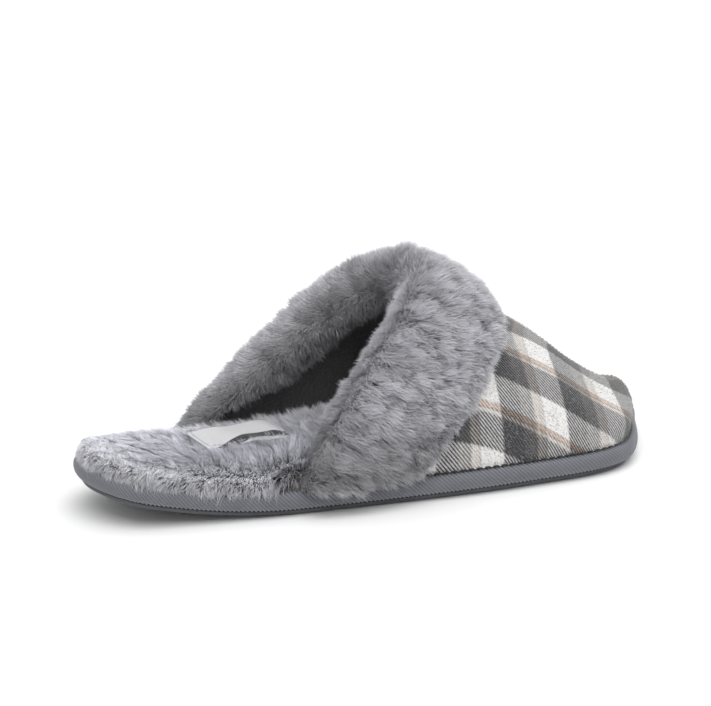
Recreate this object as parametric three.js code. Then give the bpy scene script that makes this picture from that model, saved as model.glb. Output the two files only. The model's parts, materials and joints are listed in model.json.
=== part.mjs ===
// Fluffy mule slipper for the right foot: a wrapped flat sole, a plush footbed, a padded check
// vamp and a deep faux-fur cuff folded over the topline.
// Millimetres, +X towards the toe, +Y towards the wearer's left (medial side), +Z up.
// The group's origin is the middle of the slipper's footprint, on the floor.
import * as THREE from 'three';
import { mergeVertices } from 'three/addons/utils/BufferGeometryUtils.js';

const { clamp, degToRad, mapLinear, smoothstep } = THREE.MathUtils;

// ---- Plan of the sole ----
const SOLE_LENGTH = 255;
const HEEL_WIDTH = 64;
const WAIST_WIDTH = 76;
const BALL_WIDTH = 95;
const TOE_WIDTH = 77;
const TOE_TIP_OFFSET = 9;
const HEEL_LIFT = 12;
const HEEL_CURL_LENGTH = 75;
const HEEL_CURL_POWER = 1.8;
const PARALLEL_INSET = 8;

// ---- Sole layers, from the floor up ----
const CLEARANCE = 0.3;
const LOOSE_GAP = 0.6;
const OUTSOLE_THICKNESS = 2.4;
const OUTSOLE_INSET = 3.2;
const OUTSOLE_BEVEL = 0.8;
const WRAP_THICKNESS = 1;
const WRAP_MARGIN = 13;
const WRAP_LIP = 6.5;
const WRAP_BULGE = 2.6;
const MIDSOLE_THICKNESS = 6;
const BOARD_THICKNESS = 1.2;
const FOAM_THICKNESS = 5;
const FOAM_BEVEL = 1.5;
const FUR_WALL = 4;
const PILE_HEIGHT = 10.5;
const HEEL_PILE_HEIGHT = 2.5;
const TOE_PILE_HEIGHT = 2;
const FOOTBED_GAP = 5.4;
const FOOTBED_TAPER = 15;
const HEEL_FOOTBED_INSET = 2;
const TOE_NARROWING = 17;
const TOE_NARROWING_START = 0.8 * SOLE_LENGTH;
const TOE_NARROWING_END = 0.96 * SOLE_LENGTH;
const PILE_FALL_END = 0.85 * SOLE_LENGTH;
// Crown of the pile, from its side wall inwards: distance in from the wall, share of the height.
const PILE_CROWN = [[0, 0.1], [1.2, 0.45], [4.5, 0.78], [10, 0.95], [17, 1]];

// ---- Upper ----
const UPPER_INSET = 3.5;
const INSTEP_HEIGHT = 70;
const TOE_BOX_HEIGHT = 8;
const TOE_BOX_DEPTH = 14;
const RIDGE_SHIFT = 4;
const LATERAL_OPENING = 84;
const MEDIAL_OPENING = 56;
const INSTEP_OPENING = 147;
// Line of the ridge: share of the sole's length, share of the instep's height.
const RIDGE_LINE = [
  [0.24, 1.36],
  [0.4, 1.21],
  [INSTEP_OPENING / SOLE_LENGTH, 1],
  [0.71, 0.72],
  [0.83, 0.405],
  [0.92, 0.165],
];
const LATERAL_SWEEP = 1.3;
const MEDIAL_SWEEP = 1.1;
const OUTER_THICKNESS = 1.4;
const WADDING_THICKNESS = 3.3;
const LINING_THICKNESS = 1.2;
const TOE_SKIVE = 0.65;
const SKIVE_LENGTH = 45;

// ---- Fur cuff ----
const CUFF_TOP_WIDTH = 33;
const CUFF_FOOT_WIDTH = 38;
const CUFF_SWEEP = 0.75;
const CUFF_THICKNESS = 11;
const CUFF_ROLL = 7.5;
const FACING_DEPTH = 15;
const FACING_THICKNESS = 9;
const FACING_MIN_SHARE = 0.08;
const FACING_TOP_CUT = 0.4;

// ---- Sock label and thread ----
const LABEL_LENGTH = 36;
const LABEL_WIDTH = 20;
const LABEL_THICKNESS = 0.6;
const LABEL_X = 68;
const LABEL_HEM = 2;
const THREAD_THICKNESS = 0.8;
const LABEL_THREAD_THICKNESS = 0.4;
const SEAM_HEIGHT = 0.8;

// ---- Facets ----
const OUTLINE_STEPS = 72;
const ARCH_STEPS = Math.round(SOLE_LENGTH / 8.5);
const VAMP_STEPS = Math.round(SOLE_LENGTH / 17);
const CUFF_STEPS = Math.round(SOLE_LENGTH / 6.4);
const FINE_STEPS = 720;
const LABEL_STEPS = 10;
const WELD_TOLERANCE = 1e-4;

// ---- Heights of the sole layers over the local floor line ----
const OUTSOLE_TOP = OUTSOLE_THICKNESS;
const MIDSOLE_BASE = OUTSOLE_TOP + CLEARANCE;
const MARGIN_TOP = MIDSOLE_BASE + WRAP_THICKNESS;
const MIDSOLE_TOP = MIDSOLE_BASE + MIDSOLE_THICKNESS;
const LIP_BASE = MIDSOLE_TOP + CLEARANCE;
const LIP_TOP = LIP_BASE + WRAP_THICKNESS;
const SEAT = Math.max(LIP_TOP, LIP_BASE + BOARD_THICKNESS) + CLEARANCE;
const FOAM_TOP = SEAT + FOAM_THICKNESS;
const SHELL_THICKNESS = OUTER_THICKNESS + WADDING_THICKNESS + LINING_THICKNESS + 2 * CLEARANCE;
const FOOTBED_INSET = UPPER_INSET + SHELL_THICKNESS + FOOTBED_GAP;
const TOE_FOOTBED_INSET = FOOTBED_INSET + TOE_NARROWING;

/** Closed mesh geometry with shared vertices, from a list of points and triangle indices. */
function closedGeometry(points, faces) {
  const raw = new THREE.BufferGeometry();
  raw.setAttribute('position', new THREE.Float32BufferAttribute(points.flatMap((p) => p.toArray()), 3));
  raw.setIndex(faces);
  const merged = mergeVertices(raw, WELD_TOLERANCE);
  const kept = [];
  for (let i = 0; i < merged.index.count; i += 3) {
    const [a, b, c] = [0, 1, 2].map((k) => merged.index.getX(i + k));
    if (a !== b && b !== c && c !== a) kept.push(a, b, c);
  }
  merged.setIndex(kept);
  merged.computeVertexNormals();
  return merged;
}

/** Triangles that close one ring, as a strip between point i and its opposite, count - 1 - i. */
function capFaces(start, count, flip) {
  const faces = [];
  for (let i = 0; i < count / 2 - 1; i++) {
    const [a, b] = [start + i, start + i + 1];
    const [c, d] = [start + count - 2 - i, start + count - 1 - i];
    faces.push(...(flip ? [a, c, b, a, d, c] : [a, b, c, a, c, d]));
  }
  return faces;
}

/**
 * Closed body through rings of points: capped at both ends, or joined last to first as a loop.
 * The second half of a ring runs back along the first, so its facets are split the other way.
 */
function loft(rings, loop = false) {
  const count = rings[0].length;
  const faces = [];
  const spans = loop ? rings.length : rings.length - 1;
  for (let r = 0; r < spans; r++) {
    const lower = r * count;
    const upper = ((r + 1) % rings.length) * count;
    for (let i = 0; i < count; i++) {
      const j = (i + 1) % count;
      const [a, b, c, d] = [lower + i, lower + j, upper + j, upper + i];
      faces.push(...(i < count / 2 ? [a, b, c, a, c, d] : [a, b, d, b, c, d]));
    }
  }
  if (!loop) {
    faces.push(...capFaces(0, count, true));
    faces.push(...capFaces((rings.length - 1) * count, count, false));
  }
  return closedGeometry(rings.flat(), faces);
}

/** Value at x on a smooth curve through [x, value] points given in rising x. */
function smoothValue(stops, x) {
  const last = stops.length - 1;
  let i = 0;
  while (i < last - 1 && x > stops[i + 1][0]) i++;
  const slope = (k) => {
    const [a, b] = [stops[Math.max(k - 1, 0)], stops[Math.min(k + 1, last)]];
    return (b[1] - a[1]) / (b[0] - a[0]);
  };
  const span = stops[i + 1][0] - stops[i][0];
  const t = (x - stops[i][0]) / span;
  if (t < 0) return stops[0][1] + (x - stops[0][0]) * slope(0);
  const [p, q] = [stops[i][1], stops[i + 1][1]];
  const [m, n] = [slope(i) * span, slope(i + 1) * span];
  return p + m * t + (3 * (q - p) - 2 * m - n) * t * t + (2 * (p - q) + m + n) * t * t * t;
}

/** Closed curve of the sole's edge, anticlockwise from the back of the heel. */
function soleCurve() {
  const lateral = [
    [0.035, -0.35 * HEEL_WIDTH],
    [0.13, -0.475 * HEEL_WIDTH],
    [0.39, -0.555 * WAIST_WIDTH],
    [0.675, -0.518 * BALL_WIDTH],
    [0.87, -0.57 * TOE_WIDTH],
    [0.98, TOE_TIP_OFFSET - 0.17 * TOE_WIDTH],
  ];
  const medial = [
    [0.973, TOE_TIP_OFFSET + 0.22 * TOE_WIDTH],
    [0.83, 0.43 * TOE_WIDTH],
    [0.627, 0.482 * BALL_WIDTH],
    [0.39, 0.445 * WAIST_WIDTH],
    [0.13, 0.525 * HEEL_WIDTH],
    [0.035, 0.38 * HEEL_WIDTH],
  ];
  const stops = [[0, 0], ...lateral, [1, TOE_TIP_OFFSET], ...medial];
  const points = stops.map(([share, y]) => new THREE.Vector3(share * SOLE_LENGTH, y, 0));
  return new THREE.CatmullRomCurve3(points, true, 'catmullrom', 0.5);
}

const edgeCurve = soleCurve();

/**
 * Sample of the sole's edge, moved inwards by a distance: share 0 to 1 runs round from the heel.
 * Past PARALLEL_INSET the outline shrinks about its middle, so that its tight corners never cross.
 */
function edgePoint(share, inset) {
  const tangent = edgeCurve.getTangentAt(share);
  const parallel = Math.min(inset, PARALLEL_INSET);
  const inwards = new THREE.Vector3(-tangent.y, tangent.x, 0).multiplyScalar(parallel);
  const point = edgeCurve.getPointAt(share).add(inwards);
  const middle = SOLE_LENGTH / 2;
  const rest = inset - parallel;
  point.x = middle + (point.x - middle) * (1 - rest / middle);
  point.y *= 1 - 2 * rest / BALL_WIDTH;
  return point;
}

/** Height of the floor line, which curls up at the heel. */
function floorLift(x) {
  return HEEL_LIFT * Math.max(0, 1 - x / HEEL_CURL_LENGTH) ** HEEL_CURL_POWER;
}

/** Ring round the sole: inset and height may be numbers or functions of the edge point. */
function soleRing(inset, height) {
  const valueAt = (value, point) => (typeof value === 'function' ? value(point) : value);
  return Array.from({ length: OUTLINE_STEPS }, (_, i) => {
    const share = (i + 0.5) / OUTLINE_STEPS;
    const edge = edgePoint(share, 0);
    const point = edgePoint(share, valueAt(inset, edge));
    return point.setZ(valueAt(height, point) + floorLift(point.x));
  });
}

/** Flat layer of the sole, given by [inset, height] pairs from its underside to its top. */
function soleLayer(section) {
  return loft(section.map(([inset, height]) => soleRing(inset, height)));
}

/** Rubber sheet under the sole, with a small bevel on its edge. */
function outsole() {
  return soleLayer([
    [OUTSOLE_INSET + OUTSOLE_BEVEL, 0],
    [OUTSOLE_INSET, OUTSOLE_BEVEL],
    [OUTSOLE_INSET, OUTSOLE_TOP],
  ]);
}

/** Half section of the wrapped edge: inset and height at an angle, for a skin at some depth. */
function wrapArc(angle, depth) {
  const middle = (MIDSOLE_BASE + LIP_TOP) / 2;
  const rise = (LIP_TOP - MIDSOLE_BASE) / 2 - depth;
  return [WRAP_BULGE + depth - WRAP_BULGE * Math.cos(angle), middle + rise * Math.sin(angle)];
}

const ARC_ANGLES = [-75, -45, -15, 15, 45, 75].map(degToRad);

/** Ribbed tape round the sole's edge, turned under the midsole and lipped over its top. */
function soleWrap() {
  const outer = ARC_ANGLES.map((angle) => wrapArc(angle, 0));
  const inner = ARC_ANGLES.map((angle) => wrapArc(angle, WRAP_THICKNESS)).reverse();
  const section = [
    [WRAP_MARGIN, MIDSOLE_BASE],
    ...outer,
    [WRAP_LIP, LIP_TOP],
    [WRAP_LIP, LIP_BASE],
    ...inner,
    [WRAP_MARGIN, MARGIN_TOP],
  ];
  return loft(section.map(([inset, height]) => soleRing(inset, height)), true);
}

/** Foam slab inside the wrap, stepped on its underside to take the turned margin. */
function midsole() {
  const skin = WRAP_THICKNESS + CLEARANCE;
  return soleLayer([
    [WRAP_MARGIN + CLEARANCE, MIDSOLE_BASE],
    [WRAP_MARGIN + CLEARANCE, MARGIN_TOP + CLEARANCE],
    ...ARC_ANGLES.map((angle) => wrapArc(angle, skin)),
  ]);
}

/** Stiff board that fills the middle of the lip. */
function insoleBoard() {
  const inset = WRAP_LIP + CLEARANCE;
  return soleLayer([[inset, LIP_BASE], [inset, LIP_BASE + BOARD_THICKNESS]]);
}

/** Start of the upper along the sole on the side of a point. */
function openingAt(point) {
  return point.y < 0 ? LATERAL_OPENING : MEDIAL_OPENING;
}

/** Inset of the footbed: full width behind the upper, and inside its lining in front. */
function footbedInset(extra) {
  return (point) => {
    const start = openingAt(point) - CUFF_ROLL;
    const inside = smoothstep(point.x, start - FOOTBED_TAPER, start);
    const front = smoothstep(point.x, TOE_NARROWING_START, TOE_NARROWING_END);
    const narrowed = (FOOTBED_INSET - HEEL_FOOTBED_INSET) * inside;
    return HEEL_FOOTBED_INSET + narrowed + (TOE_FOOTBED_INSET - FOOTBED_INSET) * front + extra;
  };
}

/** Height of the fur's top at a share of its pile: lower at the heel and inside the toe box. */
function pileTop(share) {
  return (point) => {
    const heel = 1 - smoothstep(point.x, 0, HEEL_CURL_LENGTH);
    const front = smoothstep(point.x, INSTEP_OPENING, PILE_FALL_END);
    const lower = (PILE_HEIGHT - HEEL_PILE_HEIGHT) * heel + (PILE_HEIGHT - TOE_PILE_HEIGHT) * front;
    return FOAM_TOP + CLEARANCE + (PILE_HEIGHT - lower) * share;
  };
}

/** Comfort foam under the fur. */
function footbedFoam() {
  const inset = footbedInset(FUR_WALL);
  return soleLayer([
    [inset, SEAT],
    [inset, FOAM_TOP - FOAM_BEVEL],
    [footbedInset(FUR_WALL + FOAM_BEVEL), FOAM_TOP],
  ]);
}

/** Plush sock over the foam: backing and pile, draped down round the foam's edge. */
function footbedFur() {
  const inner = FUR_WALL - LOOSE_GAP;
  return soleLayer([
    [footbedInset(inner + FOAM_BEVEL), FOAM_TOP + LOOSE_GAP],
    [footbedInset(inner), FOAM_TOP - FOAM_BEVEL + CLEARANCE],
    [footbedInset(inner), SEAT],
    [footbedInset(LOOSE_GAP), SEAT],
    ...PILE_CROWN.map(([inset, share]) => [footbedInset(inset), pileTop(share)]),
  ]);
}

/** Foot of the upper on one side, as a list of [x, y] from heel to toe. */
function upperFoot() {
  const points = Array.from({ length: FINE_STEPS }, (_, i) => edgePoint(i / FINE_STEPS, UPPER_INSET));
  const tip = points.reduce((best, point) => (point.x > best.x ? point : best));
  const split = points.indexOf(tip);
  const lateral = points.slice(0, split + 1).map((p) => [p.x, p.y]);
  const medial = points.slice(split).map((p) => [p.x, p.y]).reverse();
  return { tip, lateral, medial };
}

const foot = upperFoot();

/** Y of the upper's foot at x on one side. */
function footY(side, x) {
  let i = 1;
  while (i < side.length - 1 && side[i][0] < x) i++;
  const [a, b] = [side[i - 1], side[i]];
  return mapLinear(x, a[0], b[0], a[1], b[1]);
}

/** Height of the upper's ridge over the seat. */
function ridgeHeight(x) {
  const stops = RIDGE_LINE.map(([share, height]) => [share * SOLE_LENGTH, height * INSTEP_HEIGHT]);
  const full = smoothValue([...stops, [foot.tip.x, TOE_BOX_HEIGHT]], x);
  const depth = clamp((x - foot.tip.x + TOE_BOX_DEPTH) / TOE_BOX_DEPTH, 0, 1);
  return full * Math.sqrt(1 - depth * depth);
}

/** Point of the upper's outer face: angle 0 is its lateral foot, and a half turn its medial foot. */
function upperPoint(x, angle) {
  const along = Math.min(x, foot.tip.x);
  const lateral = footY(foot.lateral, along);
  const medial = footY(foot.medial, along);
  const half = (medial - lateral) / 2;
  const rise = Math.sin(angle);
  const shift = RIDGE_SHIFT * rise * rise * (2 * half / BALL_WIDTH);
  const y = (lateral + medial) / 2 - half * Math.cos(angle) + shift;
  return new THREE.Vector3(along, y, SEAT + floorLift(along) + ridgeHeight(along) * rise);
}

/** Outward direction of the upper's face. */
function upperNormal(x, angle) {
  const step = 0.25;
  const turn = 0.002;
  if (x > foot.tip.x - step) return new THREE.Vector3(1, 0, 0);
  const alongX = upperPoint(x + step, angle).sub(upperPoint(x - step, angle));
  const around = upperPoint(x, angle + turn).sub(upperPoint(x, angle - turn));
  return around.cross(alongX).normalize().negate();
}

/** Point at a distance outside the upper's outer face. */
function upperOffset(x, angle, distance) {
  return upperPoint(x, angle).addScaledVector(upperNormal(x, angle), distance);
}

/** Where the topline lies along the sole at an angle round the upper. */
function toplineX(angle) {
  const [start, sweep] = angle < Math.PI / 2
    ? [LATERAL_OPENING, LATERAL_SWEEP]
    : [MEDIAL_OPENING, MEDIAL_SWEEP];
  return start + (INSTEP_OPENING - start) * Math.sin(angle) ** sweep;
}

/** Depth under the upper's outer face after some layers, which are pared thinner at the toe. */
function layerDepth(x, layers, gaps) {
  const thinned = 1 - TOE_SKIVE * smoothstep(x, foot.tip.x - SKIVE_LENGTH, foot.tip.x);
  return thinned * layers.reduce((sum, layer) => sum + layer, 0) + gaps * CLEARANCE;
}

/** One layer of the vamp, under the layers that lie outside it. */
function vampLayer(outside, thickness) {
  const rings = [];
  for (let i = 0; i <= ARCH_STEPS; i++) {
    const angle = Math.PI * i / ARCH_STEPS;
    const start = toplineX(angle);
    const line = (layers) => Array.from({ length: VAMP_STEPS + 1 }, (_, k) => {
      const x = start + (foot.tip.x - start) * Math.sin(Math.PI / 2 * k / VAMP_STEPS);
      return upperOffset(x, angle, -layerDepth(x, layers, outside.length));
    });
    rings.push([...line(outside), ...line([...outside, thickness]).reverse()]);
  }
  return loft(rings);
}

/** Where the cuff's turned-down edge lies along the sole at an angle round the upper. */
function cuffFrontX(angle) {
  const opening = angle < Math.PI / 2 ? LATERAL_OPENING : MEDIAL_OPENING;
  const start = opening + CUFF_FOOT_WIDTH;
  return start + (INSTEP_OPENING + CUFF_TOP_WIDTH - start) * Math.sin(angle) ** CUFF_SWEEP;
}

/** Section of the cuff at an angle, as [x, distance outside the upper] pairs. */
function cuffSection(angle) {
  const top = toplineX(angle);
  const width = cuffFrontX(angle) - top;
  const height = ridgeHeight(top) * Math.sin(angle);
  const clear = pileTop(1)({ x: top }) - SEAT;
  const inside = Math.max(FACING_MIN_SHARE, smoothstep(height, clear, 2 * clear));
  const facing = FACING_DEPTH * inside * (1 - FACING_TOP_CUT * Math.sin(angle) ** 2);
  const depth = FACING_THICKNESS * inside;
  const under = -SHELL_THICKNESS - LOOSE_GAP;
  const turned = [
    [top + width, 2 * LOOSE_GAP],
    [top + 0.93 * width, LOOSE_GAP],
    [top + 0.62 * width, LOOSE_GAP],
    [top + 0.31 * width, LOOSE_GAP],
    [top - CLEARANCE, LOOSE_GAP],
    [top - CLEARANCE, under],
    [top + 0.5 * facing, under],
    [top + facing, under],
  ];
  const face = [
    [top + 1.1 * facing, under - 0.5 * depth],
    [top + 0.6 * facing, under - depth],
    [top - 0.3 * CUFF_ROLL, under - depth],
    [top - CUFF_ROLL, (under - depth + CUFF_THICKNESS) * 0.45],
    [top - 0.7 * CUFF_ROLL, 0.75 * CUFF_THICKNESS],
    [top + 0.15 * width, CUFF_THICKNESS],
    [top + 0.62 * width, 0.85 * CUFF_THICKNESS],
    [top + 0.97 * width, 0.4 * CUFF_THICKNESS],
  ];
  return [...turned, ...face];
}

/** Faux-fur strip folded over the topline: turned down outside, with a short facing inside. */
function furCuff() {
  const rings = [];
  for (let i = 0; i <= CUFF_STEPS; i++) {
    const angle = Math.PI * i / CUFF_STEPS;
    rings.push(cuffSection(angle).map(([x, distance]) => upperOffset(x, angle, distance)));
  }
  return loft(rings);
}

/** Height of the fur's crown under the label. */
function crownHeight(x) {
  return pileTop(1)({ x }) + floorLift(x);
}

/** Satin label laid along the middle of the footbed. */
function sockLabel() {
  const rings = Array.from({ length: LABEL_STEPS + 1 }, (_, i) => {
    const x = LABEL_X + LABEL_LENGTH * (i / LABEL_STEPS - 0.5);
    const base = crownHeight(x) + CLEARANCE;
    const half = LABEL_WIDTH / 2;
    return [[-half, 0], [half, 0], [half, LABEL_THICKNESS], [-half, LABEL_THICKNESS]]
      .map(([y, z]) => new THREE.Vector3(x, y, base + z));
  });
  return loft(rings);
}

/** Thread along the foot of the vamp where it is sewn to the wrap, from cuff to cuff round the toe. */
function vampSeamThread() {
  const clearOfCuff = CUFF_FOOT_WIDTH + CUFF_THICKNESS;
  const radius = THREAD_THICKNESS / 2;
  const angles = [0, 60, 120, 180, 240, 300].map(degToRad);
  const shares = Array.from({ length: 2 * OUTLINE_STEPS }, (_, i) => i / (2 * OUTLINE_STEPS));
  const rings = shares
    .filter((share) => {
      const edge = edgePoint(share, 0);
      return edge.x > openingAt(edge) + clearOfCuff;
    })
    .map((share) => angles.map((angle) => {
      const inset = UPPER_INSET - LOOSE_GAP - radius * (1 - Math.cos(angle));
      const point = edgePoint(share, inset);
      return point.setZ(SEAT + SEAM_HEIGHT + radius * Math.sin(angle) + floorLift(point.x));
    }));
  return loft(rings);
}

/** Thread sewn round the label inside its edge. */
function labelThread() {
  const reach = LABEL_LENGTH / 2 - LABEL_HEM;
  const half = LABEL_WIDTH / 2 - LABEL_HEM;
  const run = Array.from({ length: LABEL_STEPS + 1 }, (_, i) => 2 * i / LABEL_STEPS - 1);
  const path = [...run.map((share) => [share, -1]), ...run.map((share) => [-share, 1])];
  const rings = path.map(([share, side]) => {
    const corner = Math.abs(share) === 1 ? Math.sign(share) : 0;
    const ring = [[1, 0], [-1, 0], [-1, 1], [1, 1]];
    return ring.map(([out, up]) => {
      const x = LABEL_X + share * reach + corner * out * LABEL_THREAD_THICKNESS / 2;
      const y = side * (half + out * LABEL_THREAD_THICKNESS / 2);
      const base = crownHeight(x) + 2 * CLEARANCE + LABEL_THICKNESS;
      return new THREE.Vector3(x, y, base + up * LABEL_THREAD_THICKNESS);
    });
  });
  return loft(rings, true);
}

/** Named mesh with its own material. */
function piece(name, geometry, color, roughness) {
  const material = new THREE.MeshStandardMaterial({ color, roughness, metalness: 0 });
  const mesh = new THREE.Mesh(geometry, material);
  mesh.name = name;
  return mesh;
}

/** The whole slipper, centred over its footprint. */
function slipper() {
  const group = new THREE.Group();
  const underOuter = [OUTER_THICKNESS];
  const underWadding = [...underOuter, WADDING_THICKNESS];
  group.add(
    piece('outsole', outsole(), '#3d4044', 0.85),
    piece('sole_wrap', soleWrap(), '#6c717a', 0.8),
    piece('midsole', midsole(), '#d8d6d0', 0.9),
    piece('insole_board', insoleBoard(), '#b9a88c', 0.9),
    piece('footbed_foam', footbedFoam(), '#e6e2d6', 0.95),
    piece('footbed_fur', footbedFur(), '#a5a5aa', 0.95),
    piece('vamp_outer', vampLayer([], OUTER_THICKNESS), '#8d8a88', 0.95),
    piece('vamp_wadding', vampLayer(underOuter, WADDING_THICKNESS), '#f0f0ee', 0.95),
    piece('vamp_lining', vampLayer(underWadding, LINING_THICKNESS), '#302f2f', 0.95),
    piece('fur_cuff', furCuff(), '#9a9aa0', 0.95),
    piece('sock_label', sockLabel(), '#e9e9ea', 0.45),
    piece('vamp_seam_thread', vampSeamThread(), '#2a2b2d', 0.7),
    piece('label_thread', labelThread(), '#c9cacc', 0.6),
  );
  const box = new THREE.Box3().setFromObject(group);
  const middle = box.getCenter(new THREE.Vector3());
  group.position.set(-middle.x, -middle.y, -box.min.z);
  return group;
}

export default slipper();
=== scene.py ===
"""Fluffy house slipper for the right foot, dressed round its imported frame.

Sizes are millimetres in the pattern's own axes: x runs from the back of the heel to the toe, y to
the wearer's left, z up from the floor. Meshes are written in metres, in the frame's axes.
"""

import json
import logging
import math
from dataclasses import dataclass
from enum import Enum
from typing import Any, Callable, Sequence, Union

import bpy
import numpy as np
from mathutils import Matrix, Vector
from mathutils.kdtree import KDTree

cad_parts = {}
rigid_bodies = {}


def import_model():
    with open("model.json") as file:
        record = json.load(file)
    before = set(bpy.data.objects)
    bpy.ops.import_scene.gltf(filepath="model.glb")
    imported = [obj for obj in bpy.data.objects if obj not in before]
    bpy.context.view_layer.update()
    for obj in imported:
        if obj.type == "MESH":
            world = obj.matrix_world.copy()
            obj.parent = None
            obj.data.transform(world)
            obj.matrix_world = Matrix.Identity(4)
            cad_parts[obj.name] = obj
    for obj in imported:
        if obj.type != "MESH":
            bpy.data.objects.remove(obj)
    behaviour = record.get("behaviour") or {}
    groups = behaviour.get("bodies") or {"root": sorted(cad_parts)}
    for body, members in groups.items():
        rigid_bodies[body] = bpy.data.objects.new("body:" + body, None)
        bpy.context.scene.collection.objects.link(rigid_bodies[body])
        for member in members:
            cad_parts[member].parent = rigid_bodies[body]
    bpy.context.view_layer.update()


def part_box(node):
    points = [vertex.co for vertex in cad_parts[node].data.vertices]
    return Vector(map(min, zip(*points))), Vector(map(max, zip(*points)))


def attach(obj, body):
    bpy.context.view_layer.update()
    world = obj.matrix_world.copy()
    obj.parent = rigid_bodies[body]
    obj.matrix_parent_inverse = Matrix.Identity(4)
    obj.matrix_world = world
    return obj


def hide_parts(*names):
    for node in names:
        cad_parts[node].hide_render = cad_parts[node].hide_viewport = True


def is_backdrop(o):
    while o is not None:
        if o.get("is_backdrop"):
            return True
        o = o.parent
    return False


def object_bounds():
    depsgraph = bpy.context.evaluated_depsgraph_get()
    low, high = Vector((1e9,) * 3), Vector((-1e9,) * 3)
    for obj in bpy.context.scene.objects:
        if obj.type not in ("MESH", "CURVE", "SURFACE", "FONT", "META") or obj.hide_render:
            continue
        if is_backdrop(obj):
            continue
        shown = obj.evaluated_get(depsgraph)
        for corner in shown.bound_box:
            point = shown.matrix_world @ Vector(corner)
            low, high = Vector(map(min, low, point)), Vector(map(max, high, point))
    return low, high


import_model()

LOG = logging.getLogger("slipper")
MM = 0.001
BODY = "root"
PILE_MAP = "OFBake"
MAP_SPAN = 0.92
MAP_MARGIN = 0.04
LABEL_MAP_SCALE = 10.0
Colour = tuple[float, float, float]
Number = Union[float, np.ndarray]
Profile = Union[float, Callable[[np.ndarray], np.ndarray]]


class Domain(Enum):
    """Where an attribute lives on a mesh."""

    POINT = "POINT"
    CORNER = "CORNER"


class Strip(Enum):
    """Part of the cuff round the instep, as shares of the half turn."""

    LATERAL_FOOT = (0.0, 0.2)
    LATERAL_SIDE = (0.2, 0.4)
    CROWN = (0.4, 0.6)
    MEDIAL_SIDE = (0.6, 0.8)
    MEDIAL_FOOT = (0.8, 1.0)


# ---------------------------------------------------------------- node trees


@dataclass(frozen=True)
class Wire:
    """A node's output, with the arithmetic that adds the matching maths nodes."""

    graph: "Graph"
    socket: bpy.types.NodeSocket

    @property
    def is_vector(self) -> bool:
        """Whether the socket carries three numbers."""
        return self.socket.type in {"VECTOR", "RGBA"}

    def join(self, operation: str, other: "Operand", flip: bool = False) -> "Wire":
        """Adds the maths node for two operands.

        Args:
            operation: the maths node's operation.
            other: the second operand.
            flip: puts the second operand first.

        Returns:
            The new node's output.
        """
        pair = (other, self) if flip else (self, other)
        vector_other = isinstance(other, Wire) and other.is_vector or isinstance(other, tuple)
        if operation == "MULTIPLY" and self.is_vector and not vector_other:
            return self.graph.add("ShaderNodeVectorMath", {"operation": "SCALE"}, {0: self, 3: other})
        kind = "ShaderNodeVectorMath" if self.is_vector or vector_other else "ShaderNodeMath"
        return self.graph.add(kind, {"operation": operation}, {0: pair[0], 1: pair[1]})

    def __add__(self, other: "Operand") -> "Wire":
        """Sum."""
        return self.join("ADD", other)

    def __radd__(self, other: "Operand") -> "Wire":
        """Sum, reflected."""
        return self.join("ADD", other, True)

    def __sub__(self, other: "Operand") -> "Wire":
        """Difference."""
        return self.join("SUBTRACT", other)

    def __rsub__(self, other: "Operand") -> "Wire":
        """Difference, reflected."""
        return self.join("SUBTRACT", other, True)

    def __mul__(self, other: "Operand") -> "Wire":
        """Product.

        Args:
            other: the second factor.

        Returns:
            The product's wire.
        """
        if isinstance(other, Wire) and other.is_vector and not self.is_vector:
            return other * self
        return self.join("MULTIPLY", other)

    def __rmul__(self, other: "Operand") -> "Wire":
        """Product, reflected."""
        return self * other

    def __truediv__(self, other: "Operand") -> "Wire":
        """Quotient."""
        return self.join("DIVIDE", other)

    def __pow__(self, other: "Operand") -> "Wire":
        """Power."""
        return self.join("POWER", other)

    def __mod__(self, other: "Operand") -> "Wire":
        """Floored remainder."""
        return self.join("FLOORED_MODULO", other)

    def call(self, operation: str) -> "Wire":
        """Result of a maths node with one operand."""
        return self.graph.add("ShaderNodeMath", {"operation": operation}, {0: self})

    def above(self, level: "Operand", soft: float) -> "Wire":
        """Mask that rises from 0 to 1 across a level, over a soft width."""
        ramp = (self - level) * (1 / soft) + 0.5
        return self.graph.add("ShaderNodeClamp", {}, {0: ramp})

    def within(self, low: float, high: float, soft: float) -> "Wire":
        """Mask of a band from low to high."""
        return self.above(low, soft) * (1 - self.above(high, soft))

    def dot(self, other: "Wire") -> "Wire":
        """Dot product of two vectors."""
        settings = {"operation": "DOT_PRODUCT"}
        return self.graph.add("ShaderNodeVectorMath", settings, {0: self, 1: other}, "Value")

    def unit(self) -> "Wire":
        """Vector of length one."""
        return self.graph.add("ShaderNodeVectorMath", {"operation": "NORMALIZE"}, {0: self})

    def part(self, axis: str) -> "Wire":
        """One component of a vector: X, Y or Z."""
        return self.graph.add("ShaderNodeSeparateXYZ", {}, {0: self}, axis)


Operand = Union[Wire, float, tuple]


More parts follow.
